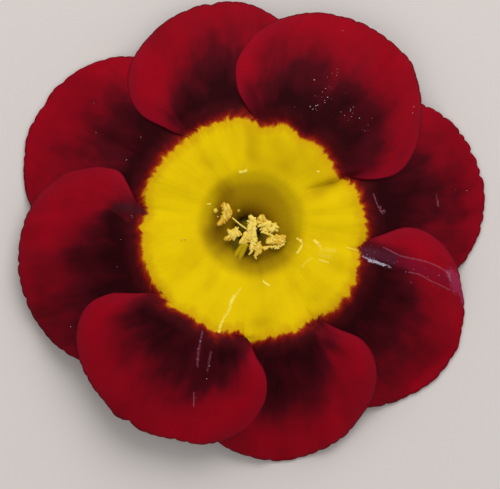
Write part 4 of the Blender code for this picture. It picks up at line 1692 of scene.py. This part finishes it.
ANTHERS = (
    Anther(0.43, 0.75, (((224.5, 206), (226.5, 211), (225, 217), (221.5, 222.5)),
        ((228, 209), (229, 215), (227, 219.5)))),
    Anther(0.36, 0.42, (((227.3, 238.7), (232, 235), (236.5, 230)),
        ((230.5, 230.3), (233.5, 234), (238.6, 234.2)), ((233, 232), (235.5, 237.5)),
        ((230, 233), (231, 238)))),
    Anther(0.36, 0.15, (((250.5, 217.5), (251, 224), (249, 231)),
        ((254, 218), (255, 225), (254, 233)), ((254, 233), (254.5, 242)))),
    Anther(0.38, 0.40, (((242, 241.5), (246.5, 236), (252, 236)),
        ((244, 243), (249, 240), (254, 243)), ((247, 234), (250, 240)))),
    Anther(0.32, 0.60, (((258.5, 220.5), (261.5, 217), (264.5, 219.5)),
        ((259, 222.5), (264.5, 222)))),
    Anther(0.38, 0.25, (((260.5, 226), (266, 223.5), (272, 225.5), (276, 226)),
        ((262, 229), (268, 228.5), (274.5, 229.5)))),
    Anther(0.38, 0.45, (((268.5, 240.5), (274, 238), (282, 238)),
        ((270, 242.5), (276, 242), (282.5, 240.5)))),
    Anther(0.34, 0.55, (((259.5, 244), (258, 250), (256, 256.5)),
        ((262.5, 248), (257, 249), (252.5, 247)), ((258, 245), (260, 252)))),
    Anther(0.24, 0.20, (((252, 245), (250.5, 253)),), stalk=False),
    Anther(0.20, 0.20, (((262, 231.5), (267, 233.5), (273, 236.5)),), stalk=False),
    Anther(0.20, 0.10, (((263, 248), (270, 247), (278, 247), (283, 243.5), (284, 238)),), stalk=False),
    Anther(0.32, 0.35, (((251, 230), (250.5, 238)),), stalk=False),
)


@dataclass
class Stamens:
    """Eight shrivelled anthers in a cluster at the tube's mouth, on filaments that rise from
    the wall, with links of dried tissue between them."""

    corolla: Corolla
    anthers: tuple[Anther, ...] = ANTHERS
    height: float = 5.48
    uneven: Point = (-0.06, 0.08)  # how much lower or higher an anther may lie
    tilt: float = 0.45
    lump_step: float = 0.075  # the lumps follow each other along an arm at this distance
    lump_rows: int = 5
    lump_least: Place = (0.95, 0.42, 0.40)  # half-widths of a lump over its size, at least
    lump_most: Place = (1.75, 0.75, 0.65)  # and at most
    crumb: Point = (0.04, 0.075)  # sizes of the crumbs round the lumps
    crumb_share: float = 0.3  # and how many there are to each lump
    crumb_rows: int = 4
    seed: int = 5
    foot_radius: float = 1.02  # the filaments leave the wall here
    foot_height: float = 2.9
    sunk: float = 0.12  # how far a foot stands in the wall
    filament: float = 0.12  # half a filament's thickness under an anther
    filament_sides: int = 12
    filament_rows: int = 14
    stalk: float = 0.20  # half the thickness of a filament that shows
    stalks: tuple[tuple[Point, Point], ...] = (  # pixels of their tops and feet
        ((243.5, 243.5), (233.5, 259.0)),
        ((246.5, 243.5), (238.5, 261.0)),
    )
    thread: tuple[Point, ...] = ((232.5, 218.0), (240.0, 224.5), (248.0, 230.0))
    thread_radius: float = 0.055
    thread_step: float = 0.08
    thread_sides: int = 9

    def build(self, pollen: Pollen, filament: Filament) -> None:
        """Gather the anthers' lumps, the thread and the filaments into one piece.

        Args:
            pollen: finish of the anthers.
            filament: finish of the filaments.
        """
        rng = np.random.default_rng(self.seed)
        shapes = Gathered()
        for anther in self.anthers:
            level = self.height + rng.uniform(*self.uneven)
            for arm in anther.arms:
                self.add_arm(shapes, self.path(arm, level, self.lump_step), anther, rng)
        path = self.path(self.thread, self.height, self.thread_step)
        radius = np.full(len(path), self.thread_radius)
        shapes.add(*path_tube(path, radius, self.thread_sides), crest=0.9, tint=0.1)
        heads = shapes.face_count()
        for anther in self.anthers:
            if anther.stalk:
                arm = anther.arms[0]
                self.add_stem(shapes, arm[len(arm) // 2], None, self.filament)
        for top, foot in self.stalks:
            self.add_stem(shapes, top, foot, self.stalk)
        slots = (np.arange(shapes.face_count()) >= heads).astype(np.int32)
        piece = shapes.piece("anther_cluster", [pollen.build(), filament.build()])
        piece.data.polygons.foreach_set("material_index", slots)
        settle(piece, "gold_anther", "stamens")

    @staticmethod
    def path(pixels: tuple[Point, ...], level: float, step: float) -> Array:
        """Places at equal steps along the line through some pixels.

        Args:
            pixels: the line's knots.
            level: the height of all of it.
            step: the distance from place to place, about.

        Returns:
            The places, one row each.
        """
        knots = np.array([(*PHOTO.place(pixel), level) for pixel in pixels])
        lengths = np.cumsum(np.linalg.norm(np.diff(knots, axis=0), axis=1))
        lengths = np.concatenate(((0.0,), lengths))
        run = np.linspace(0.0, lengths[-1], max(3, int(lengths[-1] / step) + 1))
        return np.stack([np.interp(run, lengths, part) for part in knots.T], axis=1)

    def add_arm(self, shapes: Gathered, path: Array, anther: Anther,
                rng: np.random.Generator) -> None:
        """Heap lumps along an arm, each a crumpled oval of its own size and turn, and smaller
        crumbs on and beside them.

        Args:
            shapes: where they go.
            path: places along the arm.
            anther: its width and tint.
            rng: the seeded source of the unevenness.
        """
        half = 0.5 * anther.width
        along = np.gradient(path, axis=0)
        for place, turn in zip(path, np.arctan2(along[:, 1], along[:, 0])):
            size = half * rng.uniform(0.65, 1.1)
            at = place + rng.normal(size=3) * half * (0.28, 0.28, 0.20)
            tint = anther.tint + rng.uniform(-0.25, 0.2)
            turn += rng.normal() * 0.6
            self.add_lump(shapes, at, size, turn, tint, self.lump_rows, rng)
            if rng.uniform() < self.crumb_share:
                away = rng.uniform(0.0, FULL_TURN)
                reach = half * rng.uniform(0.7, 1.25)
                at = place + reach * np.array((*polar(1.0, away), rng.uniform(-0.3, 0.6)))
                size = rng.uniform(*self.crumb)
                self.add_lump(shapes, at, size, away, tint - 0.1, self.crumb_rows, rng)

    def add_lump(self, shapes: Gathered, at: Array, size: float, turn: float, tint: float,
                 rows: int, rng: np.random.Generator) -> None:
        """One lump: a long crumpled oval, turned about the vertical and tilted a little.

        Args:
            shapes: where it goes.
            at: its middle.
            size: about half its length.
            turn: direction of its length.
            tint: 0 pale to 1 orange.
            rows: its vertex rows.
            rng: the seeded source of the unevenness.
        """
        radii = size * rng.uniform(self.lump_least, self.lump_most)
        points, faces, crest = crumpled_ball(radii, 0.9 * size, 0.35 * size, rows, rng)
        rise = np.clip(points[:, 2] / radii[2], -1.0, 1.0)
        (c, s), (cos, sin) = polar(1.0, rng.normal() * self.tilt), polar(1.0, turn)
        lean = np.array(((1.0, 0.0, 0.0), (0.0, c, -s), (0.0, s, c)))
        spin = np.array(((cos, -sin, 0.0), (sin, cos, 0.0), (0.0, 0.0, 1.0)))
        # the mark crest is higher on a lump's top, where the finish paints highlight, and low between
        # lumps, where it paints shade
        shapes.add(points @ (spin @ lean).T + at, faces, crest=0.4 * crest + 0.45 * rise,
                   tint=tint)

    def add_stem(self, shapes: Gathered, top: Point, foot: Point | None, radius: float) -> None:
        """A filament: it leaves the wall of the tube, where it is thinnest, and eases up to its
        anther along (1 - s)^2 foot + 2s(1 - s) knee + s^2 top. One without a foot of its own
        leaves the wall low down, hidden by its anther.

        Args:
            shapes: where the shape goes.
            top: the pixel of its upper end.
            foot: the pixel where it meets the wall, if the photograph shows it.
            radius: half its thickness at the top.
        """
        upper = np.array((*PHOTO.place(top), self.height - 0.08))
        if foot is None:
            away = upper[:2] - self.corolla.hole
            away /= max(float(np.linalg.norm(away)), 0.1)
            lower = np.array((*self.corolla.hole + self.foot_radius * away, self.foot_height))
            knee = np.array((*upper[:2], self.foot_height))
        else:
            x, y = PHOTO.place(foot)
            wall = self.corolla.base_height(np.array((x,)), np.array((y,)))[0]
            lower = np.array((x, y, max(wall - self.sunk, self.foot_height)))
            knee = 0.5 * (lower + upper)
        s = np.linspace(0.0, 1.0, self.filament_rows)[:, None]
        path = (1 - s) ** 2 * lower + 2 * s * (1 - s) * knee + s ** 2 * upper
        thickness = radius * (0.75 + 0.25 * smooth(2.5 * s[:, 0]))
        shapes.add(*path_tube(path, thickness, self.filament_sides), crest=0.0, tint=0.0)


@dataclass
class Pistil:
    """A round ovary, a thin style and a knob of a stigma, low in the tube."""

    axis: Point
    foot: float = 2.15
    ovary: Point = (0.72, 0.66)  # half-width and half-height
    style: float = 0.17
    least: float = 0.05  # radius at the foot
    stigma: float = 0.34
    lumps: Point = (0.08, 0.03)  # size and depth of the lumps on the stigma
    top: float = 3.95
    sides: int = 40
    seed: int = 3

    def build(self, finish: FreshGreen) -> None:
        """Turn one profile round the tube's axis and set the lumpy stigma on it.

        The radius along the height is the ovary's oval, eased into the style.

        Args:
            finish: its finish.
        """
        wide, high = self.ovary
        middle = self.foot + high
        rise = np.concatenate((np.linspace(-0.98, 0.95, 30) * high + middle,
                               np.linspace(middle + high, self.top, 12)))
        oval = wide * np.sqrt(np.clip(1.0 - ((rise - middle) / high) ** 2, 0.0, 1.0))
        radius = np.maximum(oval, self.style * smooth((rise - self.foot) / (0.2 * high)))
        path = vertices(*(np.full_like(rise, value) for value in self.axis), rise)
        shapes = Gathered()
        shapes.add(*path_tube(path, np.maximum(radius, self.least), self.sides))
        size = (self.stigma, self.stigma, 0.6 * self.stigma)
        rng = np.random.default_rng(self.seed)
        points, faces, _ = crumpled_ball(size, *self.lumps, 24, rng)
        shapes.add(points + (*self.axis, self.top), faces)
        piece = shapes.piece("ovary_and_style", [finish.build()])
        settle(piece, "pale_green_pistil", "pistil")


@dataclass
class Calyx:
    """A mealy green cup round the foot of the tube, with ribs and rounded teeth."""

    base: float = 1.55
    floor_radius: float = 2.25
    rim_radius: float = 3.45
    wall: float = 1.9
    tooth: float = 0.95
    tooth_flare: float = 0.12  # how far a tooth leans out
    teeth: int = 8
    sheet: float = 0.42
    flare: float = 0.8
    rib: float = 0.09
    floor_share: float = 0.3  # share of the rows that the floor takes
    rows: int = 44
    columns: int = 192

    def build(self, finish: FreshGreen) -> None:
        """The cup as a grid round the tube's axis: a floor, then a wall that flares.

        Height goes up with t, and by the tooth's own height x |sin(half the teeth x angle)|.
        The radius is the floor's, plus the flare x sin(quarter turn x t)^flare, plus a rib.

        Args:
            finish: its finish.
        """
        turn = np.linspace(0.0, FULL_TURN, self.columns, endpoint=False)
        t, turn = np.meshgrid(np.linspace(0.04, 1.0, self.rows), turn, indexing="ij")
        up = np.clip((t - self.floor_share) / (1.0 - self.floor_share), 0.0, 1.0)
        out = np.clip(t / self.floor_share, 0.0, 1.0)
        tooth = np.abs(np.sin(0.5 * self.teeth * turn)) ** 0.9
        flare = (self.rim_radius - self.floor_radius) * np.sin(0.5 * math.pi * up) ** self.flare
        rib = self.rib * tooth ** 3 * np.sin(math.pi * t)
        radius = self.floor_radius * out + flare + rib + self.tooth_flare * tooth * up ** 4
        x, y = polar(radius, turn)
        z = self.base + up * (self.wall + self.tooth * tooth * up ** 2)
        points = vertices(TUBE_X + x, TUBE_Y + y, z)
        points = np.concatenate((points, ((TUBE_X, TUBE_Y, self.base),)))
        faces = capped_faces(self.rows, self.columns, turned_over=False)[:2]
        piece = add_piece("calyx_cup", points, faces, [finish.build()])
        give_wall(piece, self.sheet)
        settle(piece, "green_calyx", "calyx")


@dataclass
class Pedicel:
    """The cut stub of the flower's stalk: faintly ribbed, with a moist cut end. Its profile
    gives the radius over the stalk's and the height over its length, from the middle of the
    cut round its edge, up the side and over the top."""

    cut_height: float = 0.25
    top: float = 1.2
    radius: float = 0.66
    ribs: int = 7
    rib: float = 0.035
    sides: int = 56
    cut_rows: int = 4
    profile: tuple[Point, ...] = (
        (0.15, 0.02), (0.35, 0.05), (0.60, 0.04), (0.80, 0.0), (0.93, 0.02), (1.0, 0.08),
        (1.0, 0.20), (0.99, 0.40), (1.02, 0.60), (1.10, 0.78), (1.18, 0.90), (1.16, 0.94),
        (0.8, 0.95), (0.3, 0.95))

    def build(self, finish: FreshGreen) -> None:
        """The closed profile round the tube's axis, its radius times 1 + rib x cos(ribs x
        angle).

        Args:
            finish: its finish, which shows the cut where the mark "cut" is 1.
        """
        rings = np.multiply(self.profile, (self.radius, self.top - self.cut_height))
        rings += (0.0, self.cut_height)
        turn = np.linspace(0.0, FULL_TURN, self.sides, endpoint=False)
        x, y = rings[:, :1] * (1.0 + self.rib * np.cos(self.ribs * turn)) * polar(1.0, turn)[:, None]
        z = np.broadcast_to(rings[:, 1:], x.shape)
        poles = [(TUBE_X, TUBE_Y, rings[end, 1]) for end in (0, -1)]
        points = np.concatenate((vertices(TUBE_X + x, TUBE_Y + y, z), poles))
        faces = capped_faces(len(rings), self.sides, turned_over=True)
        cut = np.zeros(len(points))
        cut[:self.cut_rows * self.sides] = 1.0
        cut[-2] = 1.0
        piece = add_piece("cut_stalk", points, faces, [finish.build()], {"cut": cut})
        settle(piece, "stem_green", "pedicel")


# Loose grains

def icosahedron() -> tuple[Array, Array]:
    """The twenty-sided solid: its corners are (1, golden ratio, 0) with all signs, and the same
    turned round through the axes, and any three of them that are neighbours make a face.

    Returns:
        Its corners at distance 1 and its faces, which point outwards.
    """
    golden = 0.5 * (1.0 + math.sqrt(5.0))
    corner = np.array([(a, b * golden, 0.0) for a in (-1, 1) for b in (-1, 1)])
    corners = np.concatenate([np.roll(corner, shift, axis=1) for shift in range(3)])
    corners /= np.linalg.norm(corners[0])
    apart = np.linalg.norm(corners[:, None] - corners, axis=-1)
    faces = np.array([trio for trio in combinations(range(len(corners)), 3)
                      if all(apart[pair] < 1.2 for pair in combinations(trio, 2))])
    a, b, c = (corners[faces[:, n]] for n in range(3))
    inwards = np.einsum("ij,ij->i", np.cross(b - a, c - a), a) < 0
    faces[inwards] = faces[inwards][:, ::-1]
    return corners, faces


@dataclass(frozen=True)
class Drift:
    """A scatter of grains round a pixel: how wide it spreads, how many, and how large."""

    pixel: Point
    spread: float
    count: int
    size: float


MEAL_DRIFTS = (
    Drift((312, 80), 0.12, 2, 0.04), Drift((336, 70), 0.12, 3, 0.042),
    Drift((334, 80), 0.35, 9, 0.024), Drift((314, 108), 0.18, 9, 0.036),
    Drift((322, 101), 0.35, 6, 0.026), Drift((352, 113), 0.25, 7, 0.034),
    Drift((347, 119), 0.35, 8, 0.024), Drift((368, 127), 0.45, 12, 0.024),
    Drift((324, 84), 0.9, 12, 0.02), Drift((340, 32), 0.2, 1, 0.03),
    Drift((398, 116), 0.7, 6, 0.024), Drift((412, 111), 0.15, 2, 0.032),
    Drift((96, 135), 0.16, 2, 0.034), Drift((141, 138), 0.05, 1, 0.036),
    Drift((93, 104), 0.1, 1, 0.026), Drift((129, 160), 0.1, 1, 0.026),
    Drift((122, 240), 0.03, 1, 0.042), Drift((118, 267), 0.03, 1, 0.046),
    Drift((70, 328), 0.1, 1, 0.03), Drift((437, 205), 0.12, 3, 0.032),
    Drift((462, 192), 0.35, 3, 0.022), Drift((418, 298), 0.35, 3, 0.026),
    Drift((300, 120), 0.6, 4, 0.02), Drift((360, 92), 0.7, 4, 0.02),
    Drift((133, 216), 0.06, 3, 0.032),
)
POLLEN_DRIFTS = (
    Drift((216, 211), 0.02, 1, 0.16), Drift((218, 216.5), 0.02, 1, 0.13),
    Drift((238.5, 210.5), 0.02, 1, 0.15), Drift((181, 240), 0.2, 2, 0.06),
    Drift((228, 224), 0.4, 4, 0.05), Drift((302.5, 243), 0.05, 2, 0.06),
    Drift((318, 244), 0.05, 2, 0.06),
)
# pale flecks along the scratches on the lower left lobe and along the bruised band: bits of scarred
# skin, and on the band painted glints as well
FLECK_DRIFTS = (
    Drift((199, 348), 0.02, 1, 0.075), Drift((198, 358.5), 0.02, 1, 0.055),
    Drift((197.5, 364), 0.02, 1, 0.045), Drift((200.5, 341), 0.03, 2, 0.036),
    Drift((202, 333), 0.05, 3, 0.03), Drift((211, 356), 0.1, 4, 0.03),
    Drift((208, 364), 0.1, 4, 0.034), Drift((208, 378), 0.08, 2, 0.028),
    Drift((194, 397), 0.08, 3, 0.03), Drift((194, 403), 0.05, 2, 0.03),
    Drift((366, 257), 0.12, 4, 0.036), Drift((373, 261), 0.12, 5, 0.046),
    Drift((381, 263.5), 0.12, 5, 0.05), Drift((388, 267), 0.15, 5, 0.036),
    Drift((370, 249), 0.35, 5, 0.024), Drift((396, 256), 0.3, 4, 0.024),
    Drift((421, 261), 0.4, 5, 0.022), Drift((448, 275), 0.22, 6, 0.036),
    Drift((452, 281), 0.3, 6, 0.03), Drift((457, 290), 0.2, 4, 0.028),
    Drift((414, 274), 0.25, 4, 0.026), Drift((432, 281), 0.3, 4, 0.024),
    Drift((379, 210), 0.18, 4, 0.026), Drift((437, 205), 0.05, 1, 0.05),
)


@dataclass
class Grains:
    """Loose grains that lie on the corolla, each an icosahedron with its own turn and size."""

    name: str
    drifts: tuple[Drift, ...]
    seed: int
    lobes: tuple[str, ...] = ()  # the lobes that some of them lie on
    lift: float = 0.35  # height of a grain's middle over the skin, by its size

    def surface(self, corolla: Corolla, x: Array, y: Array) -> Array:
        """Height of the upper skin at places from above: the last of the named lobes that is
        there, or else the eye and the plain arch.

        Args:
            corolla: the corolla.
            x: places across.
            y: places up.

        Returns:
            The height at each.
        """
        half = 0.5 * corolla.sheet
        height = corolla.base_height(x, y) + half
        for index, lobe in enumerate(corolla.lobes):
            if lobe.name in self.lobes:
                points, _ = corolla.lobe_grid(index)
                away = np.hypot(x[:, None] - points[:, 0], y[:, None] - points[:, 1])
                near = away.argmin(axis=1)
                found = away[np.arange(len(x)), near] < 0.25
                height = np.where(found, points[near, 2] + half, height)
        return height

    def build(self, corolla: Corolla, finish: Grain, slot: str) -> None:
        """Scatter the grains and lay them on the skin.

        Args:
            corolla: what they lie on.
            finish: their finish.
            slot: the slot that they take it from; not used.
        """
        rng = np.random.default_rng(self.seed)
        middles, sizes = [], []
        for drift in self.drifts:
            offset = rng.normal(size=(drift.count, 2)) * drift.spread
            middles.append(PHOTO.place(drift.pixel) + offset)
            sizes.append(drift.size * rng.uniform(0.5, 1.4, drift.count))
        (x, y), size = np.concatenate(middles).T, np.concatenate(sizes)
        middle = vertices(x, y, self.surface(corolla, x, y) + self.lift * size)
        corners, hull = icosahedron()
        turned = np.linalg.qr(rng.normal(size=(len(size), 3, 3)))[0]
        turned *= np.sign(np.linalg.det(turned))[:, None, None]
        squash = rng.uniform(0.7, 1.1, (len(size), 1, 3))
        shapes = np.einsum("nij,kj->nki", turned, corners) * size[:, None, None] * squash
        first = len(corners) * np.arange(len(size))[:, None, None]
        piece = add_piece(self.name, (shapes + middle[:, None]).reshape(-1, 3),
                          [(hull + first).reshape(-1, 3)], [finish.build()])
        settle(piece, slot)


# The studio

@dataclass
class Studio:
    """A plain pale floor, soft light from the photograph's top right, and the camera, which
    looks straight down."""

    floor_size: float = 1.2  # metres, as are the other sizes here
    sky: float = 0.62
    sky_colour: Colour = (1.0, 0.985, 0.97)
    key_power: float = 0.62  # watts
    key_colour: Colour = (1.0, 0.985, 0.96)
    key_place: Place = (0.045, 0.20, 0.22)
    key_size: float = 0.30
    camera_height: float = 0.50  # above the mean height of the bloom
    mean_height: float = 0.0025
    sensor: float = 36.0

    def build(self) -> None:
        """Lay the floor, hang the lights and point the camera."""
        self.lay_floor()
        self.hang_lights()
        self.point_camera()
        bpy.context.scene.view_settings.view_transform = "Standard"

    def lay_floor(self) -> None:
        """A single square on the surface that the flower lies on."""
        half = 0.5 * self.floor_size / MM
        signs = ((-1, -1, 0), (1, -1, 0), (1, 1, 0), (-1, 1, 0))
        corners = np.multiply(signs, half)
        floor = add_piece("floor", corners - MIDDLE, [np.array([[0, 1, 2, 3]])],
                          [PaleFloor().build()])

    def hang_lights(self) -> None:
        """A large soft lamp from the top right, turned to the flower, and an even pale sky."""
        world = bpy.data.worlds.new("studio")
        bpy.context.scene.world = world
        world.use_nodes = True
        background = world.node_tree.nodes["Background"].inputs
        background["Color"].default_value = (*self.sky_colour, 1.0)
        background["Strength"].default_value = self.sky
        lamp = bpy.data.lights.new("key", "AREA")
        lamp.shape = "DISK"
        lamp.size = self.key_size
        lamp.energy = self.key_power
        lamp.color = self.key_colour
        key = linked("key", lamp)
        x, y, z = self.key_place
        key.location = self.key_place
        key.rotation_euler = (math.atan2(math.hypot(x, y), z), 0.0, math.atan2(x, -y))

    def point_camera(self) -> None:
        """A long lens straight above the photograph's middle, as wide as its frame there."""
        data = bpy.data.cameras.new("camera")
        camera = linked("camera", data)
        middle = PHOTO.place((0.5 * PHOTO.width, 0.5 * PHOTO.height))
        camera.location = (*(MIDDLE[:2] + middle) * MM, self.camera_height + self.mean_height)
        data.sensor_fit = "HORIZONTAL"
        data.sensor_width = self.sensor
        data.lens = self.sensor * self.camera_height / (PHOTO.width * PHOTO.mm_per_pixel * MM)
        data.clip_start = 0.01
        bpy.context.scene.camera = camera


def main() -> None:
    """Build every part of the flower, then the studio."""
    logging.basicConfig(level=logging.INFO, format="%(message)s")
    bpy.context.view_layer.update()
    corolla = Corolla()
    corolla.build(PetalFace(), PetalReverse())
    Stamens(corolla).build(Pollen(), Filament())
    # the pistil's greens are darkened to olive: painted shade, deep in the tube
    Pistil(corolla.hole).build(FreshGreen("pale_green_pistil", (0.19, 0.14, 0.006),
                                          (0.14, 0.10, 0.004), amount=0.0, gloss=0.05))
    Calyx().build(FreshGreen("green_calyx", (0.17, 0.30, 0.07), (0.10, 0.19, 0.04),
                             core=(0.32, 0.25, 0.014)))
    Pedicel().build(FreshGreen("stem_green", (0.22, 0.34, 0.09), (0.13, 0.22, 0.05), amount=0.40,
                               cut=(0.42, 0.48, 0.20)))
    meal_lobes = ("upper_right", "upper_left", "left", "right", "lower_left", "lower_right")
    Grains("meal_grains", MEAL_DRIFTS, 11, meal_lobes).build(
        corolla, Grain("white_meal", (0.66, 0.58, 0.60), (0.38, 0.26, 0.30)), "crimson_lobe")
    Grains("pollen_grains", POLLEN_DRIFTS, 4).build(
        corolla, Grain("loose_pollen", (0.76, 0.56, 0.06), (0.66, 0.46, 0.03)), "gold_anther")
    Grains("pale_flecks", FLECK_DRIFTS, 8, ("lower_left", "lower_right", "right")).build(
        corolla, Grain("pale_fleck", (0.42, 0.37, 0.48), (0.22, 0.12, 0.20)), "crimson_lobe")
    Studio().build()


if __name__ == "__main__":
    main()
